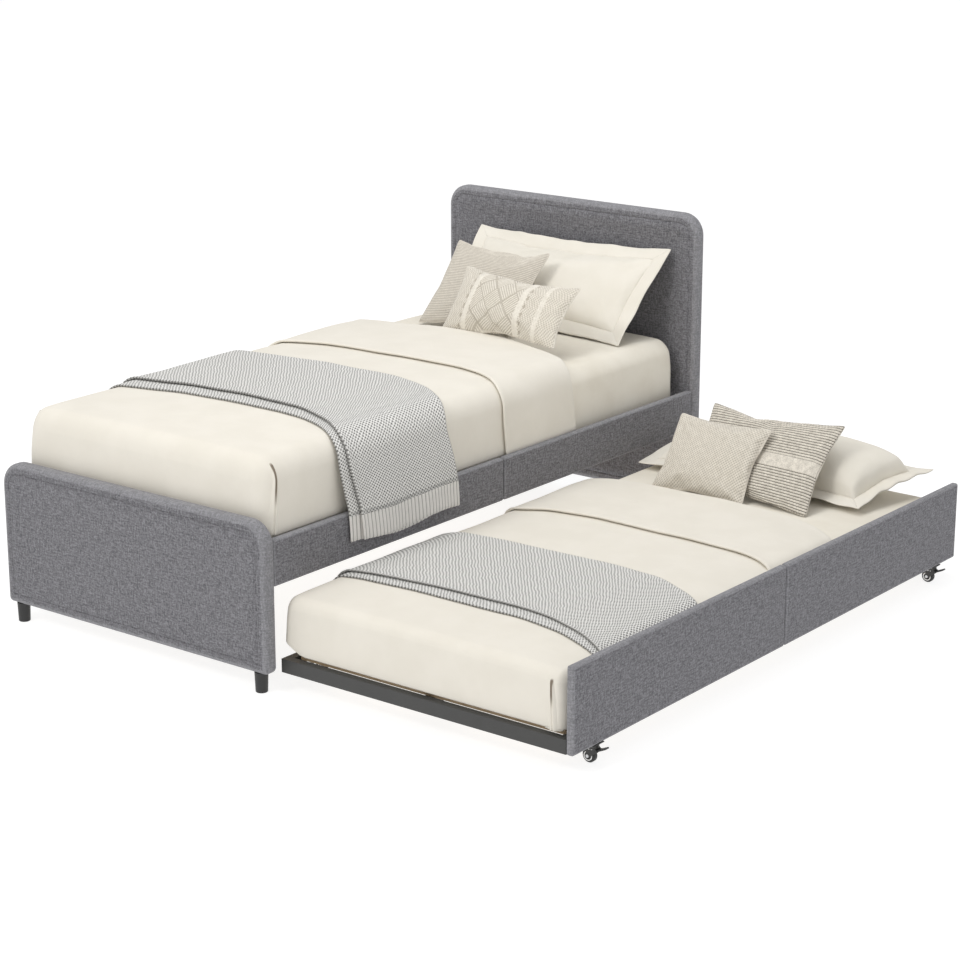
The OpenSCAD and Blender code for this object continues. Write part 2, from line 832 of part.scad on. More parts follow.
// ---------- the trundle's bedding ----------
module trundle_mattress() {
    in_frame() color(SHEET)
        soft_block([t_mattress_x[0], t_mattress_y[0], frame_z1 + soft_gap],
                   [t_mattress_x[1], t_mattress_y[1], trundle_mattress_top], 32);
}
module trundle_duvet() {
    in_frame() color(COTTON)
        quilt(t_duvet_x, t_duvet_y, [frame_z1 + 4, t_duvet_top], t_mattress_x,
              t_mattress_y[0] - soft_gap, trundle_mattress_top, t_fold_y, t_fold_t, 20);
}
module trundle_throw() {
    wall = t_duvet_x[0] - soft_gap;
    room = t_duvet_x[1] + soft_gap;
    cloth = 5.5;
    low = t_duvet_top + soft_gap;
    in_frame() color(KNIT) thick_xz(t_throw_y[0], t_throw_y[1]) polygon([
        [wall - cloth, 120], [wall - cloth, low], [wall + 4, t_throw_top],
        [room - 4, t_throw_top], [room + cloth, low], [room + cloth, 200],
        [room, 200], [room, low - 6], [room - 7, low], [wall + 7, low], [wall, low - 6],
        [wall, 120]
    ]);
}
module trundle_sham_pillow() {
    in_frame() color(COTTON) cushion(T_SHAM, trundle_mattress_top + 26);
}
module trundle_striped_cushion() {
    in_frame() color(NATURAL) cushion(T_STRIPED, trundle_mattress_top + 3);
}
module trundle_knit_cushion() {
    in_frame() color(NATURAL) cushion(T_KNIT, trundle_mattress_top + 3);
}

headboard_core();
headboard_cover();
footboard_core();
footboard_cover();
leg_foot_wall();
leg_foot_room();
leg_head_wall();
leg_head_room();
rail_room_foot();
rail_room_head();
rail_wall_foot();
rail_wall_head();
rail_joiner_room();
rail_joiner_wall();
rail_brackets();
bracket_bolts();
rail_screws();
slat_ledge_room();
slat_ledge_wall();
bed_slats();
slat_straps();
mattress();
duvet();
throw();
sham_pillow();
ribbed_cushion();
lumbar_cushion();
trundle_panel_foot();
trundle_panel_head();
trundle_panel_joiner();
trundle_end_rail_foot();
trundle_end_rail_head();
trundle_front_rail();
trundle_back_rail();
trundle_center_rail();
trundle_slats();
trundle_corner_brackets();
trundle_bolts();
caster_plates();
caster_kingpins();
trundle_mattress();
trundle_duvet();
trundle_throw();
trundle_sham_pillow();
trundle_striped_cushion();
trundle_knit_cushion();
fork_1();
fork_2();
fork_3();
fork_4();
wheel_1();
wheel_2();
wheel_3();
wheel_4();
axle_1();
axle_2();
axle_3();
axle_4();
brake_pedal_1();
brake_pedal_2();
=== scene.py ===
import json
import math

import bmesh
import bpy
import numpy as np
from mathutils import Matrix, Vector


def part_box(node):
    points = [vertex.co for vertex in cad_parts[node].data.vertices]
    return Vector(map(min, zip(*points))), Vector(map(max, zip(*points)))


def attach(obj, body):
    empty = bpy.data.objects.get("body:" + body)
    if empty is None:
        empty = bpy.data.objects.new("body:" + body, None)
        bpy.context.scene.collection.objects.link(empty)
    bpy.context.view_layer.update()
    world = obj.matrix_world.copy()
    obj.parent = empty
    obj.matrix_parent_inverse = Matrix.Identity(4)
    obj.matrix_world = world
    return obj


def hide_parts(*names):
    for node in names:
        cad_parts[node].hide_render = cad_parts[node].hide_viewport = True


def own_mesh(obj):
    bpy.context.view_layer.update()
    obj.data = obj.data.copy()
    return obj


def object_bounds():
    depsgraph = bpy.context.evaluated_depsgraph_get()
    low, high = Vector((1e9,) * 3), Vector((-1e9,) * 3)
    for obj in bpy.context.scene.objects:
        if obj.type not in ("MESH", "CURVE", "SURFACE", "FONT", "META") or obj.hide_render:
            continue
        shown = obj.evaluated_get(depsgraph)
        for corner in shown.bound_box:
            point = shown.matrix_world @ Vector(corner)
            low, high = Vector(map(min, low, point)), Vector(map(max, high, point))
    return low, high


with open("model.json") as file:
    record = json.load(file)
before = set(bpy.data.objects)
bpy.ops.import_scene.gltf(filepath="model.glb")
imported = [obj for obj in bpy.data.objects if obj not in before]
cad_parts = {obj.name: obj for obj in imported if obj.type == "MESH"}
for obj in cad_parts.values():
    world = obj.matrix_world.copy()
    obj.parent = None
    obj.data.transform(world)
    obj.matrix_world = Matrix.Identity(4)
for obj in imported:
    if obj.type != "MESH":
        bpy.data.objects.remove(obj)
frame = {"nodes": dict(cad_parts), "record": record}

cad_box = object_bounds()
scene = bpy.context.scene

# Lengths are in metres, angles in degrees, in the row frame: +X towards the room, +Y towards the headboard.
# Places on the bed are measured from CORNER, on the floor at its foot and wall side.
CORNER = cad_box[0]

# ---------------------------------------------------------------- camera, light and floor

CAMERA_PLACE = (4.266, -5.625, 2.428)
CAMERA_YAW = 37.73
CAMERA_DOWN = 16.35
CAMERA_LENS = 93.55
SKY_STRENGTH = 0.55
FLOOR_REACH = 60


def make_camera():
    data = bpy.data.cameras.new("camera")
    data.lens = CAMERA_LENS
    data.sensor_width = 36
    data.clip_end = 200
    camera = bpy.data.objects.new("camera", data)
    camera.location = CAMERA_PLACE
    camera.rotation_euler = (math.radians(90 - CAMERA_DOWN), 0, math.radians(CAMERA_YAW))
    scene.collection.objects.link(camera)
    scene.camera = camera


def make_light(name, place, aim, size, power, colour=(1, 1, 1)):
    data = bpy.data.lights.new(name, "AREA")
    data.shape = "DISK"
    data.size = size
    data.energy = power
    data.color = colour
    light = bpy.data.objects.new(name, data)
    light.location = place
    light.rotation_euler = (Vector(aim) - Vector(place)).to_track_quat("-Z", "Y").to_euler()
    scene.collection.objects.link(light)


def make_stage():
    """A white floor that runs to the horizon under an even white sky, with a key light and three fills."""
    world = bpy.data.worlds.new("studio")
    world.use_nodes = True
    world.node_tree.nodes["Background"].inputs["Color"].default_value = (1, 1, 1, 1)
    world.node_tree.nodes["Background"].inputs["Strength"].default_value = SKY_STRENGTH
    scene.world = world
    scene.view_settings.view_transform = "Standard"
    mesh = bpy.data.meshes.new("floor")
    corners = [(x * FLOOR_REACH, y * FLOOR_REACH, 0) for x, y in ((-1, -1), (1, -1), (1, 1), (-1, 1))]
    mesh.from_pydata(corners, [], [(0, 1, 2, 3)])
    floor = bpy.data.objects.new("floor", mesh)
    paint = bpy.data.materials.new("floor_paint")
    paint.use_nodes = True
    shader = paint.node_tree.nodes["Principled BSDF"]
    shader.inputs["Base Color"].default_value = (0.3, 0.3, 0.3, 1)
    shader.inputs["Roughness"].default_value = 0.9
    shader.inputs["Emission Color"].default_value = (1, 1, 1, 1)
    shader.inputs["Emission Strength"].default_value = 0.82
    mesh.materials.append(paint)
    scene.collection.objects.link(floor)
    make_light("key", (-0.9, -6.0, 5.6), (0, 0, 0.4), 2.4, 172, (1.0, 0.985, 0.955))
    make_light("top", (-0.3, 0.5, 6.0), (0, 0, 0.3), 4.0, 82)
    make_light("room_fill", (6.5, -2.0, 4.0), (0, 0, 0.4), 4.0, 45, (1.0, 0.985, 0.96))
    make_light("head_fill", (0.0, -0.7, 3.2), (-0.3, 1.0, 0.8), 1.6, 17)


# ---------------------------------------------------------------- node helpers

def node(tree, kind, inputs=None, **settings):
    """Adds a shader node; an input value that is a socket is linked, any other is set."""
    made = tree.nodes.new(kind)
    for key, value in settings.items():
        setattr(made, key, value)
    for key, value in (inputs or {}).items():
        if isinstance(value, bpy.types.NodeSocket):
            tree.links.new(value, made.inputs[key])
        else:
            made.inputs[key].default_value = value
    return made


def calc(tree, operation, *values):
    """A Math node's output."""
    return node(tree, "ShaderNodeMath", dict(enumerate(values)), operation=operation).outputs[0]


def times(tree, value, factor):
    return calc(tree, "MULTIPLY", value, factor)


def plus(tree, value, other):
    return calc(tree, "ADD", value, other)


def parts_of(tree, vector):
    """The three numbers of a vector."""
    return node(tree, "ShaderNodeSeparateXYZ", {0: vector}).outputs


def mixed(tree, share, low, high):
    """A colour between low and high; each is a socket or three numbers."""
    low, high = [v if isinstance(v, bpy.types.NodeSocket) else (*v, 1) for v in (low, high)]
    return node(tree, "ShaderNodeMix", {0: share, 6: low, 7: high}, data_type="RGBA").outputs[2]


def ramp(tree, value, low, high):
    """value mapped so that low gives 0 and high gives 1."""
    inputs = {"Value": value, "From Min": low, "From Max": high}
    return node(tree, "ShaderNodeMapRange", inputs, interpolation_type="SMOOTHSTEP").outputs[0]


def place_of(tree, cloth):
    """Where a surface point is: along the cloth, or in the object's own space."""
    if cloth:
        return node(tree, "ShaderNodeAttribute", attribute_name="cloth").outputs["Vector"]
    return node(tree, "ShaderNodeTexCoord").outputs["Object"]


def stretched(tree, vector, scale):
    return node(tree, "ShaderNodeVectorMath", {0: vector, 1: scale}, operation="MULTIPLY").outputs[0]


def grain(tree, vector, scale, detail=2.0, rough=0.5):
    """Noise from 0 to 1."""
    inputs = {"Vector": vector, "Scale": scale, "Detail": detail, "Roughness": rough}
    return node(tree, "ShaderNodeTexNoise", inputs).outputs["Fac"]


def wave(tree, value, pitch):
    """A cosine of value with that pitch, from -1 to 1."""
    return calc(tree, "COSINE", times(tree, value, 2 * math.pi / pitch))


def bumped(tree, shader, height, distance, strength):
    inputs = {"Height": height, "Distance": distance, "Strength": strength}
    made = node(tree, "ShaderNodeBump", inputs)
    tree.links.new(made.outputs["Normal"], shader.inputs["Normal"])


def new_material(name, roughness, sheen=0.0, specular=0.5, metallic=0.0):
    """A material and its tree and main shader; what is constant is set on the shader's own sockets."""
    material = bpy.data.materials.new(name)
    material.use_nodes = True
    tree = material.node_tree
    shader = tree.nodes["Principled BSDF"]
    shader.inputs["Roughness"].default_value = roughness
    shader.inputs["Sheen Weight"].default_value = sheen
    shader.inputs["Sheen Roughness"].default_value = 0.5
    shader.inputs["Specular IOR Level"].default_value = specular
    shader.inputs["Metallic"].default_value = metallic
    return material, tree, shader


# ---------------------------------------------------------------- materials

# What cloth's third number is on linen that is stretched over an edge, where the linen gets a painted
# highlight.
EDGE_HIGHLIGHT_MARK = 0.001
LINEN_THREAD = 0.0024


def make_linen():
    """Heathered grey linen: crossed slubby threads of uneven grey, with a painted highlight where it is
    stretched over an edge, which the cloth's third number marks."""
    material, tree, shader = new_material("grey_linen", 0.92, sheen=0.12, specular=0.2)
    cloth = place_of(tree, True)
    along = grain(tree, stretched(tree, cloth, (60, 420, 60)), 1.0, 3.0, 0.6)
    across = grain(tree, stretched(tree, cloth, (420, 60, 60)), 1.0, 3.0, 0.6)
    heather = grain(tree, cloth, 170, 3.0, 0.65)
    fleck = grain(tree, cloth, 420, 2.0, 0.6)
    patch = grain(tree, cloth, 5.0, 2.0)
    threads = calc(tree, "MAXIMUM", along, across)
    slub_along = grain(tree, stretched(tree, cloth, (36, 230, 230)), 1.0, 2.0, 0.6)
    slub_across = grain(tree, stretched(tree, cloth, (230, 36, 230)), 1.0, 2.0, 0.6)
    slub = times(tree, plus(tree, slub_along, slub_across), 0.5)
    share = plus(tree, times(tree, heather, 0.35), times(tree, threads, 0.25))
    share = plus(tree, share, times(tree, slub, 0.40))
    colour = mixed(tree, ramp(tree, share, 0.41, 0.61), (0.088, 0.087, 0.095), (0.276, 0.273, 0.292))
    colour = mixed(tree, ramp(tree, fleck, 0.52, 0.75), colour, (0.085, 0.084, 0.095))
    colour = mixed(tree, times(tree, patch, 0.12), colour, (0.26, 0.26, 0.28))
    # Painted highlight: a paler grey mixed in over the rounded edges that cloth's third number marks.
    edge = ramp(tree, parts_of(tree, cloth)[2], 0.0, EDGE_HIGHLIGHT_MARK)
    colour = mixed(tree, times(tree, edge, 0.28), colour, (0.42, 0.42, 0.44))
    tree.links.new(colour, shader.inputs["Base Color"])
    parts = parts_of(tree, cloth)
    weave = times(tree, wave(tree, parts[0], LINEN_THREAD), wave(tree, parts[1], LINEN_THREAD))
    height = plus(tree, times(tree, weave, 0.3), times(tree, share, 1.6))
    bumped(tree, shader, height, 0.0007, 0.8)
    return material


def make_cotton(name, light, dark, wrinkle=0.0016, tucked=False):
    """Plain cotton: a fine thread, faint mottling and soft creases. Where tucked, cloth's third number is
    the shade in a pleat."""
    material, tree, shader = new_material(name, 0.88, sheen=0.18, specular=0.25)
    place = place_of(tree, False)
    mottle = grain(tree, place, 9.0, 3.0, 0.55)
    fibre = grain(tree, stretched(tree, place, (900, 260, 900)), 1.0, 2.0, 0.6)
    share = plus(tree, times(tree, mottle, 0.75), times(tree, fibre, 0.25))
    colour = mixed(tree, ramp(tree, share, 0.35, 0.65), dark, light)
    if tucked:
        shade = parts_of(tree, place_of(tree, True))[2]
        colour = mixed(tree, times(tree, shade, 0.9), colour, (0.16, 0.12, 0.08))
    tree.links.new(colour, shader.inputs["Base Color"])
    crease = grain(tree, stretched(tree, place, (7, 16, 9)), 1.0, 4.0, 0.55)
    height = plus(tree, crease, times(tree, fibre, 0.06))
    bumped(tree, shader, height, wrinkle, 0.7)
    return material


def make_basket_knit():
    """Light grey basket stitch: raised stitches in a chequer with painted shade in the gaps between. A
    negative third number in cloth marks the shaded rim."""
    material, tree, shader = new_material("basket_knit", 0.95, sheen=0.2, specular=0.15)
    cloth = place_of(tree, True)
    wander = grain(tree, cloth, 26.0, 2.0)
    parts = parts_of(tree, cloth)
    shift = times(tree, calc(tree, "SUBTRACT", wander, 0.5), 0.008)
    along = wave(tree, plus(tree, parts[0], shift), 0.0108)
    across = wave(tree, plus(tree, parts[1], shift), 0.0150)
    stitch = times(tree, along, across)
    yarn = grain(tree, cloth, 700.0, 2.0)
    # The near-black colour in the gaps between the stitches is painted shade.
    colour = mixed(tree, ramp(tree, stitch, -0.82, 0.30), (0.05, 0.048, 0.044), (0.79, 0.785, 0.76))
    colour = mixed(tree, times(tree, yarn, 0.25), colour, (0.90, 0.89, 0.87))
    rim = ramp(tree, times(tree, parts[2], -1.0), 0.15, 0.9)
    colour = mixed(tree, times(tree, rim, 0.45), colour, (0.22, 0.21, 0.19))
    tree.links.new(colour, shader.inputs["Base Color"])
    bumped(tree, shader, plus(tree, stitch, times(tree, yarn, 0.25)), 0.0018, 0.8)
    return material


def make_rib_knit():
    """The throw's hem: the ribs are in the mesh, this adds the yarn and painted shade in the grooves between
    the ribs.
    """
    material, tree, shader = new_material("rib_knit", 0.95, sheen=0.2, specular=0.15)
    cloth = place_of(tree, True)
    yarn = grain(tree, stretched(tree, cloth, (220, 700, 0)), 1.0, 3.0, 0.6)
    rib = wave(tree, parts_of(tree, cloth)[2], 1.0)
    # Darker grey in the grooves between the ribs is painted shade.
    colour = mixed(tree, ramp(tree, rib, -1.0, 0.1), (0.28, 0.27, 0.255), (0.80, 0.78, 0.75))
    colour = mixed(tree, times(tree, yarn, 0.4), colour, (0.58, 0.565, 0.54))
    tree.links.new(colour, shader.inputs["Base Color"])
    bumped(tree, shader, yarn, 0.0012, 0.8)
    return material


def make_yarn(name, light, dark, hollow=0.7):
    """Oatmeal yarn: the relief is in the mesh and its height from 0 to 1 in cloth's third number; this adds
    the strands and darkens the hollows with painted shade."""
    material, tree, shader = new_material(name, 0.95, sheen=0.2, specular=0.15)
    cloth = place_of(tree, True)
    strand = grain(tree, stretched(tree, cloth, (0.45, 1, 0)), 500.0, 3.0, 0.6)
    mottle = grain(tree, stretched(tree, cloth, (1, 1, 0)), 60.0, 2.0)
    share = plus(tree, times(tree, strand, 0.65), times(tree, mottle, 0.35))
    high = parts_of(tree, cloth)[2]
    middle = tuple(0.5 * (d + c) for d, c in zip(dark, light))
    yarn = mixed(tree, ramp(tree, share, 0.3, 0.7), middle, light)
    # Painted shade: the dark colour is mixed in where the relief is low.
    colour = mixed(tree, ramp(tree, high, 0.05, hollow), dark, yarn)
    tree.links.new(colour, shader.inputs["Base Color"])
    bumped(tree, shader, strand, 0.0012, 0.8)
    return material


def make_metal(name, colour, roughness, metallic, orange_peel=0.0):
    """Coated or plated metal: faint mottling, scuffs and an uneven gloss."""
    material, tree, shader = new_material(name, roughness, metallic=metallic)
    place = place_of(tree, False)
    cloud = grain(tree, place, 18.0, 4.0, 0.6)
    fine = grain(tree, place, 900.0, 2.0, 0.5)
    scuff = ramp(tree, grain(tree, stretched(tree, place, (30, 160, 160)), 1.0, 4.0, 0.7), 0.62, 0.78)
    lighter = tuple(min(1.0, c * 1.35 + 0.006) for c in colour)
    shade = mixed(tree, cloud, colour, lighter)
    scuffed = tuple(min(1.0, c * 1.8 + 0.02) for c in colour)
    shade = mixed(tree, times(tree, scuff, 0.15), shade, scuffed)
    tree.links.new(shade, shader.inputs["Base Color"])
    gloss = calc(tree, "MULTIPLY_ADD", plus(tree, cloud, scuff), 0.12, roughness - 0.06)
    tree.links.new(gloss, shader.inputs["Roughness"])
    bumped(tree, shader, fine, 0.00015 + orange_peel, 0.6)
    return material


def make_wood(name, light, dark):
    """Planed timber with its grain along X, with rings, pores and a few darker streaks."""
    material, tree, shader = new_material(name, 0.62, specular=0.3)
    place = place_of(tree, False)
    flow = grain(tree, stretched(tree, place, (2.5, 55, 55)), 1.0, 4.0, 0.6)
    pores = grain(tree, stretched(tree, place, (12, 600, 600)), 1.0, 2.0, 0.5)
    rings = wave(tree, flow, 0.096)
    share = calc(tree, "MULTIPLY_ADD", rings, 0.22, flow)
    colour = mixed(tree, ramp(tree, share, 0.2, 0.85), light, dark)
    streak = times(tree, ramp(tree, pores, 0.55, 0.75), 0.35)
    colour = mixed(tree, streak, colour, tuple(c * 0.55 for c in dark))
    tree.links.new(colour, shader.inputs["Base Color"])
    bumped(tree, shader, plus(tree, pores, times(tree, flow, 0.4)), 0.0003, 0.7)
    return material


def make_plastic(name, colour, roughness):
    """Moulded plastic: a fine spark texture and slight wear."""
    material, tree, shader = new_material(name, roughness, specular=0.45)
    place = place_of(tree, False)
    cloud = grain(tree, place, 30.0, 3.0)
    spark = grain(tree, place, 1400.0, 1.0)
    worn = tuple(c * 1.5 + 0.004 for c in colour)
    tree.links.new(mixed(tree, cloud, colour, worn), shader.inputs["Base Color"])
    tree.links.new(calc(tree, "MULTIPLY_ADD", cloud, 0.14, roughness - 0.07), shader.inputs["Roughness"])
    bumped(tree, shader, spark, 0.00012, 0.5)
    return material


def make_webbing():
    """Woven polypropylene tape, with cross ribs."""
    material, tree, shader = new_material("webbing_tape", 0.6, sheen=0.1)
    place = place_of(tree, False)
    parts = parts_of(tree, place)
    rib = times(tree, wave(tree, parts[1], 0.0028), wave(tree, parts[0], 0.0022))
    share = calc(tree, "MULTIPLY_ADD", rib, 0.5, 0.5)
    colour = mixed(tree, share, (0.012, 0.012, 0.012), (0.05, 0.05, 0.05))
    tree.links.new(colour, shader.inputs["Base Color"])
    bumped(tree, shader, rib, 0.0004, 0.8)
    return material


MATERIALS = {
    "linen": make_linen(),
    "board_wood": make_wood("raw_plywood", (0.60, 0.44, 0.27), (0.40, 0.26, 0.13)),
    "black_plastic": make_plastic("satin_black_plastic", (0.018, 0.018, 0.018), 0.42),
    "zinc_steel": make_metal("bright_zinc", (0.56, 0.57, 0.58), 0.34, 1.0),
    "slat_pine": make_wood("planed_pine", (0.72, 0.56, 0.38), (0.54, 0.39, 0.23)),
    "webbing": make_webbing(),
    "sheet_cotton": make_cotton("sheet_cotton", (0.80, 0.76, 0.67), (0.75, 0.705, 0.61)),
    "duvet_cotton": make_cotton("duvet_cotton", (0.775, 0.738, 0.662), (0.745, 0.708, 0.63), tucked=True),
    "throw_knit": make_basket_knit(),
    "throw_rib": make_rib_knit(),
    "sham_cotton": make_cotton("sham_cotton", (0.765, 0.730, 0.655), (0.735, 0.70, 0.62), 0.002),
    "ribbed_knit": make_yarn("ribbed_knit", (0.76, 0.715, 0.635), (0.42, 0.385, 0.33)),
    "lumbar_weave": make_yarn("lumbar_weave", (0.82, 0.78, 0.70), (0.46, 0.42, 0.355)),
    "striped_weave": make_yarn("striped_yarn", (0.84, 0.79, 0.70), (0.10, 0.086, 0.068), 0.62),
    "dotted_knit": make_yarn("dotted_knit", (0.83, 0.785, 0.70), (0.36, 0.325, 0.27)),
    "black_steel": make_metal("black_powder_coat", (0.034, 0.034, 0.033), 0.42, 0.0, 0.0001),
    "wheel_black": make_plastic("wheel_rubber", (0.02, 0.02, 0.02), 0.55),
}


# ---------------------------------------------------------------- mesh helpers

def new_piece(name, points, faces, body, slot, cloth=None, material=None):
    """A smooth mesh piece that rides on a body, with its material and its place along the cloth."""
    mesh = bpy.data.meshes.new(name)
    mesh.from_pydata(np.asarray(points, float).tolist(), [], [list(f) for f in faces])
    mesh.update()
    shell = bmesh.new()
    shell.from_mesh(mesh)
    bmesh.ops.recalc_face_normals(shell, faces=shell.faces)
    shell.to_mesh(mesh)
    shell.free()
    mesh.shade_smooth()
    if cloth is not None:
        store_cloth(mesh, cloth)
    mesh.materials.append(material or MATERIALS[slot])
    piece = bpy.data.objects.new(name, mesh)
    scene.collection.objects.link(piece)
    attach(piece, body)
    return piece


def store_cloth(mesh, cloth):
    """Keeps where each point is along its cloth, for the weave to follow."""
    layer = mesh.attributes.new("cloth", "FLOAT_VECTOR", "POINT")
    layer.data.foreach_set("vector", np.asarray(cloth, np.float32).ravel())


def rows_of(items, field):
    """A vector of each item, as an array of rows."""
    rows = np.zeros(len(items) * 3, np.float32)
    items.foreach_get(field, rows)
    return rows.reshape(-1, 3).astype(float)


def bake_modifiers(piece):
    """Turns the piece's modifiers into its own mesh."""
    graph = bpy.context.evaluated_depsgraph_get()
    made = bpy.data.meshes.new_from_object(piece.evaluated_get(graph))
    piece.modifiers.clear()
    old = piece.data
    piece.data = made
    bpy.data.meshes.remove(old)


def grid_quads(index, wrap=False):
    """Quads between neighbours of a 2D array of point indices, closed along its second axis if wrap."""
    if wrap:
        index = np.concatenate([index, index[:, :1]], axis=1)
    quads = np.stack([index[:-1, :-1], index[1:, :-1], index[1:, 1:], index[:-1, 1:]], axis=-1)
    return quads.reshape(-1, 4)


def smoothstep(low, high, value):
    share = np.clip((value - low) / (high - low), 0, 1)
    return share * share * (3 - 2 * share)


def bell(value, middle, width):
    return np.exp(-(((value - middle) / width) ** 2))


def travelled(points):
    """How far along a line each of its points is."""
    return np.concatenate([[0], np.cumsum(np.linalg.norm(np.diff(points, axis=0), axis=1))])


WAVES = 7


def ripple(points, length, seed):
    """Smooth pseudo-random waves of about that length, from about -1 to 1, the same every run."""
    dice = np.random.default_rng(seed)
    total = np.zeros(len(points))
    for _ in range(WAVES):
        direction = dice.normal(size=3)
        direction *= 2 * math.pi / (length * dice.uniform(0.7, 1.5) * np.linalg.norm(direction))
        total += np.sin(points @ direction + dice.uniform(0, 2 * math.pi))
    return total / math.sqrt(WAVES) / 1.4


def rounded_path(corners, radii, step):
    """Points along a flat polyline whose inner corners are arcs, about step apart."""
    corners = [np.array(c, float) for c in corners]
    dense = [corners[0]]
    for before, corner, after, radius in zip(corners, corners[1:], corners[2:], radii):
        inward, outward = before - corner, after - corner
        inward, outward = inward / np.linalg.norm(inward), outward / np.linalg.norm(outward)
        half = math.acos(np.clip(inward @ outward, -1, 1)) / 2
        reach = radius / math.tan(half)
        start, end = corner + inward * reach, corner + outward * reach
        centre = corner + (inward + outward) / np.linalg.norm(inward + outward) * radius / math.sin(half)
        turn = np.linspace(0, 1, 13)[:, None]
        arc = (1 - turn) * (start - centre) + turn * (end - centre)
        dense.extend(centre + arc / np.linalg.norm(arc, axis=1)[:, None] * radius)
    dense.append(corners[-1])
    dense = np.array(dense)
    travel = travelled(dense)
    stations = np.linspace(0, travel[-1], round(travel[-1] / step) + 1)
    return np.stack([np.interp(stations, travel, dense[:, k]) for k in range(2)], axis=1)


def stitch_row(name, route, outward, body):
    """A row of separate thread stitches along a route, each a small bowed lozenge lying on the surface."""
    pitch, length, thick = 0.0075, 0.0048, 0.0006
    travel = travelled(route)
    middles = np.arange(pitch, travel[-1] - pitch / 2, pitch)

    def at(stations, rows):
        return np.stack([np.interp(stations, travel, rows[:, k]) for k in range(3)], axis=1)

    start, middle, end = (at(middles + shift, route) for shift in (-length / 2, 0, length / 2))
    normal = at(middles, outward)
    normal /= np.linalg.norm(normal, axis=1)[:, None]
    side = np.cross(end - start, normal)
    side /= np.linalg.norm(side, axis=1)[:, None]
    top = middle + normal * thick * 1.2
    ring = [middle + side * thick, top, middle - side * thick, middle - normal * thick]
    points = np.stack([start, *ring, end], axis=1)
    pattern = [(0, 2, 1), (0, 3, 2), (0, 4, 3), (0, 1, 4), (5, 1, 2), (5, 2, 3), (5, 3, 4), (5, 4, 1)]
    base = np.arange(len(middles))[:, None, None] * 6
    faces = (np.array(pattern)[None] + base).reshape(-1, 3)
    flat = points.reshape(-1, 3)
    return new_piece(name, flat, faces, body, "linen", flat[:, [0, 2, 1]])


# ---------------------------------------------------------------- upholstered boards

# The seam that runs round a board's face, and the gap between the covers of a rail's two halves.
SEAM_DEPTH = 0.0024
SEAM_HALF = 0.0016
JOINT_GAP = 0.0050
OUTLINE_STEP = 0.018


def rounded_outline(width, height, radii, inset):
    """Points anticlockwise round a rectangle with rounded corners, inset by a distance. The count depends
    only on the rectangle. Radii run lower left, lower right, upper right, upper left."""
    corners = [(0, 0, 180, 1, 1), (width, 0, 270, -1, 1), (width, height, 0, -1, -1), (0, height, 90, 1, -1)]
    arcs = []
    for (x, z, start, in_x, in_z), radius in zip(corners, radii):
        left = max(radius - inset, 0.0012)
        centre = np.array([x + in_x * (inset + left), z + in_z * (inset + left)])
        angle = np.radians(start + np.linspace(0, 90, 11))
        arcs.append(centre + left * np.stack([np.cos(angle), np.sin(angle)], axis=1))
    points = []
    for here, there, span in zip(arcs, arcs[1:] + arcs[:1], (width, height, width, height)):
        points.append(here)
        share = np.linspace(0, 1, max(3, round(span / OUTLINE_STEP)) + 1)[1:-1, None]
        points.append(here[-1] * (1 - share) + there[0] * share)
    return np.concatenate(points)


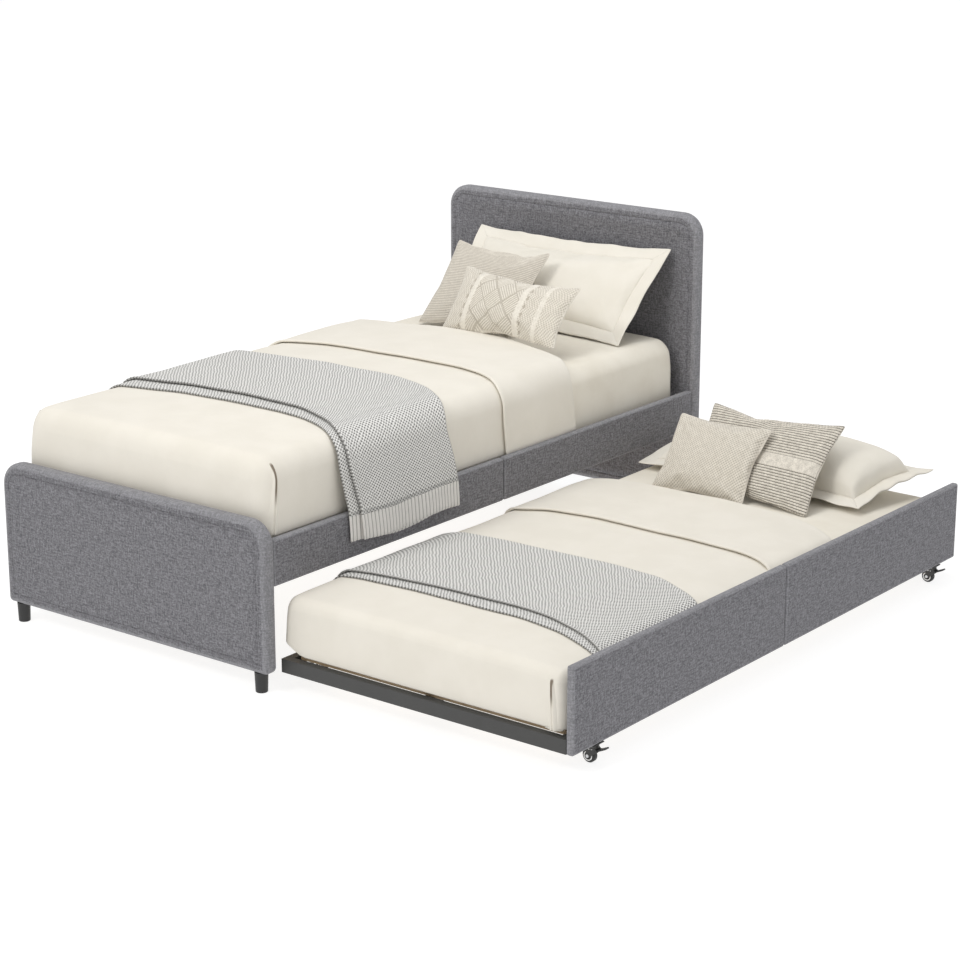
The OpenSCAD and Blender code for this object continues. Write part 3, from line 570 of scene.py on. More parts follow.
def make_board(name, nodes, body, facing, radii, edge, seam_inset=None, crown=0.0025):
    """An upholstered board in the place of CAD nodes. facing is the axis that its thickness runs along, with
    its front towards -Y or +X. The fabric turns over a soft edge, and a seam runs round each face if
    seam_inset says how far in."""
    low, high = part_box(nodes[0])
    for other in nodes[1:]:
        low2, high2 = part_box(other)
        low, high = Vector(map(min, low, low2)), Vector(map(max, high, high2))
    if facing == "X":
        # The two halves of a rail or panel meet at Y = 0, with a dark line between their covers.
        meets_low, meets_high = abs(low.y) < 0.01, abs(high.y) < 0.01
        low = low + Vector((0, meets_low * JOINT_GAP / 2, 0))
        high = high - Vector((0, meets_high * JOINT_GAP / 2, 0))
    thick = high.y - low.y if facing == "Y" else high.x - low.x
    width = high.x - low.x if facing == "Y" else high.y - low.y
    height = high.z - low.z

    def placed(flat, depth):
        depth = np.full(len(flat), depth) if np.ndim(depth) == 0 else depth
        if facing == "Y":
            return np.stack([low.x + flat[:, 0], low.y + depth, low.z + flat[:, 1]], axis=1)
        return np.stack([high.x - depth, low.y + flat[:, 0], low.z + flat[:, 1]], axis=1)

    # Each row is its inset, its depth from the front face, and the inset of its place along the cloth.
    front = [(0.055, -crown * 0.8), (edge + 0.012 + (seam_inset or 0), -crown * 0.3)]
    if seam_inset:
        for shift, depth in ((0.008, -0.0006), (SEAM_HALF, -0.0002), (0.0, SEAM_DEPTH),
                             (-SEAM_HALF, -0.0003), (-0.006, -0.0008)):
            front.append((seam_inset + shift, depth))
    rows = [(inset, depth, inset) for inset, depth in front if inset > edge]
    rows.sort(key=lambda row: -row[0])
    rows += [(edge * (1 - math.sin(a)), edge * (1 - math.cos(a)), edge * (1 - a)) for a in
             np.radians(np.linspace(0, 90, 7))]
    run = rows[-1][2]
    rows.append((0.0, thick / 2, run - (thick / 2 - edge)))
    count = len(rows)
    back = [(inset, thick - depth, 2 * rows[-1][2] - unrolled) for inset, depth, unrolled in rows[-2::-1]]
    rows += back
    rings, cloths = [], []
    for place, (inset, depth, unrolled) in enumerate(rows):
        flat = rounded_outline(width, height, radii, inset)
        travel = travelled(flat)
        pucker = 0.0
        if seam_inset and abs(inset - seam_inset) < 0.009 and inset != seam_inset:
            outward = 1 if place < count else -1
            pucker = outward * 0.00045 * np.sin(travel * 2 * math.pi / 0.031) * np.sin(travel * 5.1)
        rings.append(placed(flat, depth + pucker))
        cloths.append(rounded_outline(width, height, radii, unrolled))
    number = len(rings[0])
    points, cloth = [], []
    centre = np.array([[width / 2, height / 2]])
    shrinks = (0.72, 0.42, 0.16)
    for end, (depth, sign) in ((0, (rows[0][1], -1)), (-1, (rows[-1][1], 1))):
        ring = rounded_outline(width, height, radii, rows[end][0])
        inner = []
        for shrink in shrinks:
            flat = centre + (ring - centre) * shrink
            inner.append((placed(flat, depth + sign * crown * 0.5 * (1 - shrink)), flat))
        middle = (placed(centre, np.array([depth + sign * crown * 0.5])), centre)
        points.append((inner, middle))
    front_inner, front_middle = points[0]
    back_inner, back_middle = points[1]
    stack = [p for p, _ in front_inner[::-1]] + rings + [p for p, _ in back_inner]
    flats = [f for _, f in front_inner[::-1]] + cloths + [f for _, f in back_inner]
    every = np.concatenate(stack + [front_middle[0], back_middle[0]])
    flat = np.concatenate(flats + [front_middle[1], back_middle[1]])
    # Cloth's third number marks the rounded edge rows, where the linen gets a painted highlight.
    marks = [np.full(number, EDGE_HIGHLIGHT_MARK * (abs(inset) < edge * 0.9)) for inset, _, _ in rows]
    plain = [np.zeros(number)] * len(front_inner)
    marks = np.concatenate(plain + marks + plain + [[0.0, 0.0]])
    cloth = np.column_stack([flat + [low.x + low.y, low.z], marks])
    index = np.arange(len(stack) * number).reshape(len(stack), number)
    faces = grid_quads(index, wrap=True).tolist()
    hub_front, hub_back = len(stack) * number, len(stack) * number + 1
    ahead = np.roll(index, -1, axis=1)
    faces += [(hub_front, a, b) for a, b in zip(index[0], ahead[0])]
    faces += [(hub_back, b, a) for a, b in zip(index[-1], ahead[-1])]
    piece = new_piece(name, every, faces, body, "linen", cloth)
    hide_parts(*nodes)
    if seam_inset:
        for side, depth, sign in (("front", -0.0008, -1), ("back", thick + 0.0008, 1)):
            for row, inset in enumerate((seam_inset - 0.007, seam_inset + 0.007)):
                flat = rounded_outline(width, height, radii, inset)
                flat = np.concatenate([flat, flat[:1]])
                route = placed(flat, np.full(len(flat), depth))
                outward = placed(flat, np.full(len(flat), depth + sign)) - route
                stitch_row(f"{name}_{side}_stitches_{row + 1}", route, outward, body)
    return piece


def make_boards():
    corner, base = 0.070, 0.015
    make_board("footboard_upholstery", ["footboard_cover", "footboard_core"], "bed", "Y",
               (base, base, corner, corner), 0.016, 0.030)
    make_board("headboard_upholstery", ["headboard_cover", "headboard_core"], "bed", "Y",
               (base, base, corner, corner), 0.016, 0.030, 0.004)
    small = 0.006
    for where in ("room_foot", "room_head", "wall_foot", "wall_head"):
        make_board(f"rail_{where}_upholstery", [f"rail_{where}"], "bed", "X", (small,) * 4,
                   0.006, None, 0.001)
    for end in ("foot", "head"):
        make_board(f"trundle_panel_{end}_upholstery", [f"trundle_panel_{end}"], "trundle", "X", (small,) * 4,
                   0.007, None, 0.0015)


# ---------------------------------------------------------------- mattresses and bedding

def axis_stops(low, high, round_low, round_high, step):
    """Stops along one side of a block: in equal turns over its rounded ends, evenly between them."""
    turn = np.radians(np.linspace(45, 0, 9))
    first = low + round_low - round_low * np.tan(turn)
    last = (high - round_high + round_high * np.tan(turn))[::-1]
    middle = np.linspace(first[-1], last[0], max(2, round((last[0] - first[-1]) / step)) + 1)[1:-1]
    return np.concatenate([first, middle, last])


def rounded_block(low, high, round_low, round_high, step):
    """The surface of a block with rounded edges, as points and quads. The roundings are one length per axis,
    at its low and its high end."""
    low, high, round_low, round_high = (np.array(v, float) for v in (low, high, round_low, round_high))
    stops = [axis_stops(low[k], high[k], round_low[k], round_high[k], step) for k in range(3)]
    sizes = [len(s) for s in stops]
    surface = np.zeros(sizes, bool)
    for axis in range(3):
        edge = [slice(None)] * 3
        edge[axis] = [0, -1]
        surface[tuple(edge)] = True
    index = np.full(sizes, -1)
    index[surface] = np.arange(surface.sum())
    i, j, k = np.nonzero(surface)
    block = np.stack([stops[0][i], stops[1][j], stops[2][k]], axis=1)
    inner = np.clip(block, low + round_low, high - round_high)
    radius = np.where(block < inner, round_low, round_high)
    away = (block - inner) / radius
    points = inner + radius * away / np.linalg.norm(away, axis=1)[:, None]
    quads = []
    for axis in range(3):
        for end in (0, -1):
            quads.append(grid_quads(np.take(index, end, axis=axis)))
    return points, np.concatenate(quads)


FOLD_RISE = 0.008


class Stack:
    """A mattress and what lies on it. settle() gives them all one soft shape, so that they stay nested."""

    def __init__(self, node_name, duvet_name, sag, wall_share, bulge, seed, covered):
        self.low, self.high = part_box(node_name)
        self.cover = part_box(duvet_name)[1].z - self.high.z
        self.middle = (self.low + self.high) / 2
        self.half = (self.high - self.low) / 2
        self.sag, self.wall_share, self.bulge, self.seed = sag, wall_share, bulge, seed
        self.covered = covered

    def settle(self, points):
        """Sags the top towards its edges, bows the sides a little and adds slow waves, inwards only."""
        points = np.array(points, float)
        x = np.clip((points[:, 0] - self.middle.x) / self.half.x, -1.06, 1.06)
        y = np.clip((points[:, 1] - self.middle.y) / self.half.y, -1.02, 1.02)
        z = (points[:, 2] - self.low.z) / (self.high.z - self.low.z)
        on_top = smoothstep(0.35, 1.0, z)
        sideways = np.abs(x) ** 4 * np.where(x < 0, self.wall_share, 1.0)
        fall = 1 - (1 - sideways) * (1 - 0.5 * np.abs(y) ** 9)
        moved = points.copy()
        moved[:, 2] -= on_top * self.sag * np.clip(fall, 0, 1.2)
        slow = ripple(points, 0.55, self.seed)
        quick = ripple(points, 0.17, self.seed + 1)
        moved[:, 2] -= on_top * (0.0022 * (1 + slow) + 0.0010 * (1 + quick))
        inward = smoothstep(0.25, 0.5, z) * self.bulge * np.clip((2 * z - 0.9) ** 2, 0, 1)
        inward += smoothstep(0.25, 0.5, z) * 0.0014 * (1 + quick)
        moved[:, 0] -= np.sign(x) * smoothstep(0.8, 1.0, np.abs(x)) * inward
        moved[:, 1] -= np.sign(y) * smoothstep(0.9, 1.0, np.abs(y)) * inward
        return moved

    def settle_grid(self, grid):
        return self.settle(grid.reshape(-1, 3)).reshape(grid.shape)

    def surface(self, points):
        """How high what lies on the mattress reaches below each point: duvet and fold, or the bare sheet."""
        under_duvet = 1 - smoothstep(self.covered - 0.01, self.covered + 0.01, points[:, 1] - CORNER.y)
        flat = np.column_stack([points[:, :2], self.high.z + (self.cover + FOLD_RISE) * under_duvet])
        return self.settle(flat)[:, 2]


BED = Stack("mattress", "duvet", 0.012, 0.6, 0.005, 11, 1.545)
TRUNDLE = Stack("trundle_mattress", "trundle_duvet", 0.014, 0.1, 0.005, 21, 1.520)


def make_mattress(name, stack, node_name, body, radii):
    low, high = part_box(node_name)
    points, quads = rounded_block(low, high, radii, radii, 0.022)
    piece = new_piece(name, stack.settle(points), quads, body, "sheet_cotton")
    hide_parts(node_name)
    return piece


def sheet_shell(grid, thick):
    """A closed sheet round a middle surface given as a grid of points: its points, its quads with soft
    edges, and for each point the grid point that it came from."""
    rows, columns = grid.shape[:2]
    normal = np.cross(np.gradient(grid, axis=0), np.gradient(grid, axis=1))
    normal /= np.maximum(np.linalg.norm(normal, axis=2), 1e-12)[..., None]
    top, base = grid + normal * thick / 2, grid - normal * thick / 2
    index = np.arange(rows * columns).reshape(rows, columns)
    loop = np.concatenate([index[0, :], index[1:, -1], index[-1, -2::-1], index[-2:0:-1, 0]])
    row, column = np.divmod(loop, columns)
    inner = grid[np.clip(row, 1, rows - 2), np.clip(column, 1, columns - 2)]
    outward = grid[row, column] - inner
    outward /= np.maximum(np.linalg.norm(outward, axis=1), 1e-12)[:, None]
    rim = grid[row, column] + outward * thick * 0.45
    rim_index = 2 * rows * columns + np.arange(len(loop))
    ring = np.stack([loop, rim_index, loop + rows * columns])
    faces = [grid_quads(index), grid_quads(index + rows * columns)[:, ::-1], grid_quads(ring, wrap=True)]
    points = np.concatenate([top.reshape(-1, 3), base.reshape(-1, 3), rim])
    source = np.concatenate([index.ravel(), index.ravel(), loop])
    return points, np.concatenate(faces), source


def knitted_sheet(name, grid, thick, body, cloth, hem):
    """A closed knitted sheet. hem is 1 at the grid points of its ribbed ends, which get their own material."""
    points, quads, source = sheet_shell(grid, thick)
    cloth = cloth.reshape(-1, 3)[source]
    hem = hem.ravel()[source]
    plain = hem < 0.5
    cloth[plain, 2] = 0
    plain[:2 * grid.shape[0] * grid.shape[1]] = False
    cloth[plain, 2] = -1
    piece = new_piece(name, points, quads, body, "throw_knit", cloth)
    piece.data.materials.append(MATERIALS["throw_rib"])
    ribbed = hem[quads].mean(axis=1) > 0.5
    piece.data.polygons.foreach_set("material_index", ribbed.astype(np.int32))
    return piece


def smoothed(values, width):
    """values averaged with their neighbours, for edges that run in soft curves."""
    kernel = np.hanning(2 * width + 3)
    kernel /= kernel.sum()
    return np.convolve(np.pad(values, width + 1, mode="edge"), kernel, mode="valid")


class Crosswise:
    """A cloth's way over a mattress from the wall side to the room side, as a flat path in X and Z."""

    def __init__(self, corners, radii):
        self.path = rounded_path([(CORNER.x + x, z) for x, z in corners], radii, 0.012)
        along = np.gradient(self.path, axis=0)
        along /= np.linalg.norm(along, axis=1)[:, None]
        self.normal = np.stack([-along[:, 1], along[:, 0]], axis=1)
        travel = travelled(self.path)
        centre = len(travel) // 2
        self.run = travel - travel[centre] + self.path[centre, 0] - CORNER.x
        self.length = travel[-1]

    def edge(self, pairs):
        """Y at each station of an edge that passes through (run, y) pairs, measured from CORNER."""
        run, y = zip(*pairs)
        return CORNER.y + smoothed(np.interp(self.run, run, y), 4)

    def surface(self, y, lift):
        """Points at each station (rows) for y and lift above the path, each an array of rows and columns."""
        x = self.path[:, :1] + self.normal[:, :1] * lift
        z = self.path[:, 1:] + self.normal[:, 1:] * lift
        return np.stack([x, y, z], axis=2)


# Each body's duvet, as the low and high corners of its block, for the pleats.
DUVET_BLOCKS = {}


def make_duvet(name, stack, node_name, body, end, radii, underside, room_inset=0.0, wall_spread=0.0,
               corner_lift=0.0, drop=0.0):
    """The tucked part of a duvet: a soft shell over the mattress, open underneath and at its head end."""
    low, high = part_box(node_name)
    low = low - Vector((wall_spread, 0, drop))
    high = Vector((high.x - room_inset, CORNER.y + end, high.z - FOLD_RISE))
    DUVET_BLOCKS[body] = (low, high)
    tiny = 0.001
    points, quads = rounded_block(low, high, (*radii[:2], 0.010), (radii[0], tiny, radii[2]), 0.018)
    wall_end = 1 - smoothstep(0.0, 0.08, points[:, 0] - low.x)
    points[:, 2] += corner_lift * wall_end * (1 - smoothstep(0.0, 0.10, points[:, 2] - low.z))
    centre = points[quads].mean(axis=1)
    keep = centre[:, 1] < high.y - 1.5 * tiny
    inside = (centre[:, 0] > low.x + underside) & (centre[:, 0] < high.x - underside)
    keep &= ~((centre[:, 2] < low.z + 0.002) & inside & (centre[:, 1] > low.y + underside))
    used, quads = np.unique(quads[keep], return_inverse=True)
    piece = new_piece(name, stack.settle(points[used]), quads.reshape(-1, 4), body, "duvet_cotton")
    skin = piece.modifiers.new("thickness", "SOLIDIFY")
    skin.thickness = 0.009
    skin.offset = -1
    bake_modifiers(piece)
    piece.data.shade_smooth()
    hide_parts(node_name)
    return piece


def make_fold_back(name, stack, body, way, free_edge, head_edge):
    """The duvet's head end turned back over itself: a band that runs round a soft fold."""
    thick, gap, tuck = 0.0075, 0.0075, 0.06
    free, head = way.edge(free_edge)[:, None], way.edge(head_edge)[:, None]
    rise, radius = thick / 2 + 0.0008, (thick + gap) / 2
    share = np.linspace(0, 1, 30)
    upper_y = free + (head - radius - free) * share
    turn = np.radians(np.linspace(90, -90, 9))[1:-1]
    turn_y = head - radius + radius * np.cos(turn)
    under = np.linspace(0, 1, 6)
    under_y = head - radius - tuck * under
    y = np.concatenate([upper_y, turn_y, under_y], axis=1)
    puff = 0.0030 * np.sin(np.pi * np.clip(share * 1.1, 0, 1)) ** 0.5 + 0.0036 * bell(share, 0, 0.035)
    lift = np.concatenate([rise + puff, rise - radius + radius * np.sin(turn),
                           rise - 2 * radius - 0 * under])
    grid = way.surface(y, np.tile(lift, (len(way.path), 1)))
    grid = stack.settle_grid(grid)
    points, quads, _ = sheet_shell(grid, thick)
    piece = new_piece(name, points, quads, body, "duvet_cotton")
    return piece


def make_throw(name, stack, node_name, body, way, lower_edge, upper_edge, head_edge, hems,
               thick, gap):
    """A knitted throw folded double, its fold towards the headboard, with ribbed ends.
    hems gives the ribbed length at the wall end and the room end."""
    pitch, per_rib, depth = 0.0165, 6, 0.0016
    lower, upper, head = (way.edge(e)[:, None] for e in (lower_edge, upper_edge, head_edge))
    width = float((head - lower).mean())
    count = round(width / pitch) * per_rib
    share = np.linspace(0, 1, count)
    radius = (thick + gap) / 2
    turn = np.radians(np.linspace(-90, 90, 9))[1:-1]
    y = np.concatenate([lower + (head - radius - lower) * share, head - radius + radius * np.cos(turn),
                        head - radius + (upper - head + radius) * share], axis=1)
    level = thick / 2 + 0.0006
    lip = 0.0030 * bell(share, 1, 0.035)
    lift = np.concatenate([level + 0 * share, level + radius + radius * np.sin(turn),
                           level + 2 * radius + lip])
    lift = np.tile(lift, (len(way.path), 1))
    round_fold = width + radius * (turn + math.pi / 2)
    along_cloth = np.concatenate([share * width, round_fold, 2 * width - share * width])
    from_start = (way.run - way.run[0])[:, None]
    from_end = (way.run[-1] - way.run)[:, None]
    past_start, past_end = (smoothstep(length - 0.006, length + 0.002, run)
                            for length, run in zip(hems, (from_start, from_end)))
    hem = 1 - past_start * past_end
    ribs = np.concatenate([np.arange(count), np.full(len(turn), count), np.arange(count)[::-1]]) / per_rib
    lift = lift + hem * depth * np.cos(ribs * 2 * math.pi)
    grid = way.surface(y, lift)
    loose = smoothstep(0.20, 0.0, from_end) * (hems[1] > 0)
    grid[..., 2] += loose * 0.0045 * np.sin(grid[..., 1] * 2 * math.pi / 0.37 + 1.0)
    grid[..., 0] += loose * 0.0030 * (1 + np.sin(grid[..., 1] * 2 * math.pi / 0.21))
    under = np.arange(grid.shape[1]) < count
    hang = np.clip(np.sin((share - 0.25) / 0.55 * math.pi), 0, 1) * ((share > 0.25) & (share < 0.80))
    grid[..., 2] -= loose * under * 0.011 * np.concatenate([hang, np.zeros(grid.shape[1] - count)])
    grid = stack.settle_grid(grid)
    cloth = np.stack([np.broadcast_to(way.run[:, None], y.shape), np.broadcast_to(along_cloth, y.shape),
                      np.broadcast_to(ribs, y.shape)], axis=2)
    piece = knitted_sheet(name, grid, thick, body, cloth, np.broadcast_to(hem, y.shape))
    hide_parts(node_name)
    return piece


# ---------------------------------------------------------------- pillows and cushions

class Cushion:
    """A stuffed cushion: where the middle of its bottom edge stands, measured from the bed's corner, how it
    leans and turns, its size, how far it bulges to the front and back, and what it is like."""

    def __init__(self, name, node_name, body, slot, place, tilt, yaw, size, bulge, step=(0.0095, 0.0095),
                 flange=0.0, relief=None, levels=1, corner=0.014, drawn=0.0, hump=0.0, sink=0.006,
                 fill=0.6, seed=1, pull=0.04):
        self.name, self.node, self.body, self.slot = name, node_name, body, slot
        self.place, self.tilt, self.yaw = place, tilt, yaw
        self.size, self.bulge, self.step, self.flange = size, bulge, step, flange
        self.relief, self.levels, self.fill, self.seed = relief, levels, fill, seed
        self.corner, self.drawn, self.hump, self.sink, self.pull = corner, drawn, hump, sink, pull


def bag_grid(cells):
    """Two sheets sewn together round their border: flat points from -1 to 1, quads and each point's side."""
    columns, rows = cells[0] + 1, cells[1] + 1
    x, y = np.meshgrid(np.linspace(-1, 1, columns), np.linspace(-1, 1, rows), indexing="ij")
    index = np.arange(columns * rows).reshape(columns, rows)
    inner = index[1:-1, 1:-1].ravel()
    back = index.copy()
    back[1:-1, 1:-1] = columns * rows + np.arange(len(inner)).reshape(columns - 2, rows - 2)
    flat = np.stack([x.ravel(), y.ravel()], axis=1)
    flat = np.concatenate([flat, flat[inner]])
    side = np.ones(len(flat))
    side[columns * rows:] = -1
    border = np.ones((columns, rows), bool)
    border[1:-1, 1:-1] = False
    side[index[border]] = 0
    quads = np.concatenate([grid_quads(index), grid_quads(back)[:, ::-1]])
    return flat, quads, side


def swollen(flat, side, width, height, puff, pull):
    """A plain cushion form: crowned in the middle, with its sides drawn in between its corners."""
    x, y = flat[:, 0], flat[:, 1]
    crown = ((1 - x ** 2) * (1 - y ** 2)) ** 0.5
    return np.stack([x * width / 2 * (1 - pull * (1 - y ** 2)), y * height / 2 * (1 - pull * (1 - x ** 2)),
                     side * puff * crown], axis=1)


def inflate(bag, pressure, frames):
    """Blows the sewn bag up with Blender's cloth, so that its seams pull in and wrinkle."""
    cloth = bag.modifiers.new("cloth", "CLOTH")
    settings = cloth.settings
    settings.quality = 6
    settings.mass = 0.25
    settings.tension_stiffness = settings.compression_stiffness = 22
    settings.shear_stiffness = 9
    settings.bending_stiffness = 0.25
    settings.tension_damping = settings.compression_damping = settings.shear_damping = 12
    settings.air_damping = 4
    settings.use_pressure = True
    settings.uniform_pressure_force = pressure
    settings.effector_weights.gravity = 0
    cloth.point_cache.frame_start = 1
    cloth.point_cache.frame_end = frames
    for moment in range(1, frames + 1):
        scene.frame_set(moment)
    bake_modifiers(bag)
    scene.frame_set(1)


def new_bag(points, quads):
    mesh = bpy.data.meshes.new("bag")
    mesh.from_pydata(points.tolist(), [], quads.tolist())
    bag = bpy.data.objects.new("bag", mesh)
    scene.collection.objects.link(bag)
    return bag


def round_corners(flat, half_width, half_height, radius):
    """Moves what lies in the corners of a rectangle onto or inside their roundings."""
    inner = np.array([half_width, half_height]) - radius
    beyond = np.abs(flat) - inner
    distance = np.hypot(*beyond.T)
    outside = (beyond > 0).all(axis=1) & (distance > radius)
    pulled = np.sign(flat) * (inner + beyond * (radius / np.maximum(distance, radius))[:, None])
    return np.where(outside[:, None], pulled, flat)


def make_cushion(c):
    flange = c.flange
    width, height = c.size[0] - 2 * flange, c.size[1] - 2 * flange
    cells = (round(width / c.step[0]), round(height / c.step[1]))
    flat, quads, side = bag_grid(cells)
    start = swollen(flat, side, width * 1.04, height * 1.04, 0.35 * sum(c.bulge) / 2, 0.01)
    start[:, 2] += 0.002 * ripple(start, 0.09, c.seed) * (side != 0)
    bag = new_bag(start, quads)
    inflate(bag, 5.0 * c.fill, 26)
    points = rows_of(bag.data.vertices, "co")
    bpy.data.objects.remove(bag)
    spread = np.ptp(points[:, :2], axis=0)
    middle = (points[:, :2].max(axis=0) + points[:, :2].min(axis=0)) / 2
    points[:, :2] = (points[:, :2] - middle) * [width / spread[0], height / spread[1]]
    straight = 0.6 if flange else 0.4
    points[:, :2] = (1 - straight) * points[:, :2] + straight * flat * [width / 2, height / 2]
    if not flange:
        points[:, :2] = round_corners(points[:, :2], width / 2, height / 2, c.corner)
        points[:, :2] *= 1 - c.pull * (1 - flat[:, ::-1] ** 2)
    points[:, 2] -= points[side == 0, 2].mean()
    front = points[:, 2] > 0
    points[:, 2] *= np.where(front, c.bulge[0] / points[:, 2].max(), c.bulge[1] / -points[:, 2].min())
    bag = new_bag(points, quads)
    store_cloth(bag.data, np.column_stack([flat, side]))
    bag.modifiers.new("smooth", "SUBSURF").levels = c.levels
    bake_modifiers(bag)
    points = rows_of(bag.data.vertices, "co")
    cloth = rows_of(bag.data.attributes["cloth"].data, "vector")
    u, v = (cloth[:, 0] + 1) / 2, (cloth[:, 1] + 1) / 2
    on_seam = np.abs(cloth[:, 2]) < 1e-3
    cloth = np.column_stack([(u - 0.5) * width, (v - 0.5) * height, np.ones(len(u))])
    if c.relief:
        rise = c.relief(u, v, u * cells[0], v * cells[1], cloth[:, 0], cloth[:, 1])
        from_edge = np.minimum(np.minimum(u, 1 - u) * width, np.minimum(v, 1 - v) * height)
        rise *= smoothstep(0.001, 0.010, from_edge)
        points = points + rows_of(bag.data.vertex_normals, "vector") * rise[:, None]
        # Cloth's third number is the relief height from 0 to 1, which the yarn materials turn into painted
        # shade in the hollows; near the seam it is set high, so there is no painted shade.
        deep, proud = np.percentile(rise, (4, 96))
        cloth[:, 2] = np.where(from_edge < 0.004, 0.8, np.clip((rise - deep) / (proud - deep), 0, 1))
    faces = [tuple(p.vertices) for p in bag.data.polygons]
    bpy.data.objects.remove(bag)
    if flange:
        points, faces, cloth = with_flange(points, faces, cloth, on_seam, width, height, flange, c.seed)
    across, up = points[:, 0] / c.size[0] + 0.5, points[:, 1] / c.size[1] + 0.5
    far_corner = np.clip(across, 0, 1) ** 1.4 * np.clip(up, 0, 1) ** 1.4
    points[:, 0] += c.drawn * far_corner
    swell = bell(across, 0.78, 0.21) * np.clip(4 * up * (1 - up), 0, 1)
    swell += 0.40 * np.exp(-(((across - 0.88) / 0.10) ** 2) - ((up - 0.80) / 0.16) ** 2)
    points[:, 2] += c.hump * swell * (points[:, 2] > 0) * smoothstep(0.0, 0.02, points[:, 2])
    points[:, 1] += c.size[1] / 2
    matrix = (Matrix.Translation(CORNER + Vector(c.place)) @ Matrix.Rotation(math.radians(c.yaw), 4, "Z")
              @ Matrix.Rotation(math.radians(c.tilt), 4, "X"))
    spin = np.array(matrix)
    points = points @ spin[:3, :3].T + spin[:3, 3]
    stack = TRUNDLE if c.body == "trundle" else BED
    under = stack.surface(points)
    hollow = np.clip(under[up < 0.1].max() - under, 0, 0.014)
    points[:, 2] -= hollow * (1 - smoothstep(0.0, 0.6, up))
    clearance = points[:, 2] - stack.surface(points)
    points[:, 2] -= np.clip(np.percentile(clearance, 1.5) + 0.001, 0.0, c.sink)
    points[:, 2] = np.maximum(points[:, 2], stack.surface(points) + 0.001)
    piece = new_piece(c.name, points, faces, c.body, c.slot, cloth)
    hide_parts(c.node)
    if c.body == "trundle":
        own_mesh(piece)
    return piece


def with_flange(points, faces, cloth, on_seam, width, height, flange, seed):
    """Adds a mitred double-cloth border round the seam, a little wavy, its corners drawn out to points."""
    around = []
    for axis, sign in ((1, -1), (0, 1), (1, 1), (0, -1)):
        run = np.linspace(-1, 1, 60) * (1 if sign * (1 if axis else -1) < 0 else -1)
        flat = np.zeros((len(run), 2))
        flat[:, 1 - axis] = run
        flat[:, axis] = sign
        around.append(flat)
    seam_cloth = cloth[on_seam][:, :2] / [width / 2, height / 2]
    seam_points = points[on_seam]
    parts_points, parts_faces, parts_cloth = [points], [faces], [cloth]
    total = len(points)
    for flat in around:
        gaps = np.linalg.norm(flat[:, None] - seam_cloth[None], axis=2)
        near = np.argsort(gaps, axis=1)[:, :3]
        weight = 1 / (np.take_along_axis(gaps, near, axis=1) + 1e-4)
        weight /= weight.sum(axis=1)[:, None]
        inner = (seam_points[near] * weight[..., None]).sum(axis=1)
        outer = np.column_stack([flat[:, 0] * (width / 2 + flange), flat[:, 1] * (height / 2 + flange),
                                 np.zeros(len(flat))])
        drawn = 0.75 * (inner - np.column_stack([flat * [width / 2, height / 2], np.zeros(len(flat))]))
        outer[:, :2] += drawn[:, :2]
        outer[:, 2] = 0.006 * ripple(outer, 0.22, seed) + 0.003 * ripple(outer, 0.08, seed + 1)
        share = np.linspace(0, 1, 8)[:, None, None]
        grid = inner * (1 - share) + outer * share
        grid[0] -= 0.002 * (outer - inner) / np.linalg.norm(outer - inner, axis=1)[:, None]
        shell, shell_faces, source = sheet_shell(grid, 0.0032)
        parts_points.append(shell)
        parts_faces.append((shell_faces + total).tolist())
        flat_cloth = np.concatenate([grid[..., :2], np.ones(grid.shape[:2] + (1,))], axis=2).reshape(-1, 3)
        parts_cloth.append(flat_cloth[source])
        total += len(shell)
    every_face = [face for part in parts_faces for face in part]
    return np.concatenate(parts_points), every_face, np.concatenate(parts_cloth)


# A relief gives how far the surface stands out. u and v run from 0 to 1 across and up the cushion, i and j
# count the cells of its grid, and x and y are metres from its middle.

def rib_relief(u, v, i, j, x, y):
    return -0.0011 * np.cos(2 * math.pi * j)


def dot_relief(u, v, i, j, x, y):
    return 0.0013 * np.cos(math.pi * i) * np.cos(math.pi * j)


def stripe_relief(u, v, i, j, x, y):
    """Rows of twisted yarn above and below one plain band."""
    plain = smoothstep(0.41, 0.43, v) * (1 - smoothstep(0.53, 0.55, v))
    dice = np.random.default_rng(41)
    lumps = dice.uniform(0.45, 1.0, (64, 128))
    row = np.clip(np.floor(j).astype(int), 0, 63)
    along = i * 1.1 + 9 * lumps[row, 0]
    left = np.clip(np.floor(along).astype(int), 0, 126)
    lump = lumps[row, left] + (lumps[row, left + 1] - lumps[row, left]) * (along - left)
    twist = np.cos(2 * math.pi * (i + 0.37 * row))
    rows = 0.0034 * np.abs(np.sin(math.pi * j)) ** 0.6 * (0.52 + 0.24 * lump + 0.20 * twist)
    return rows * (1 - plain) + 0.0022 * plain


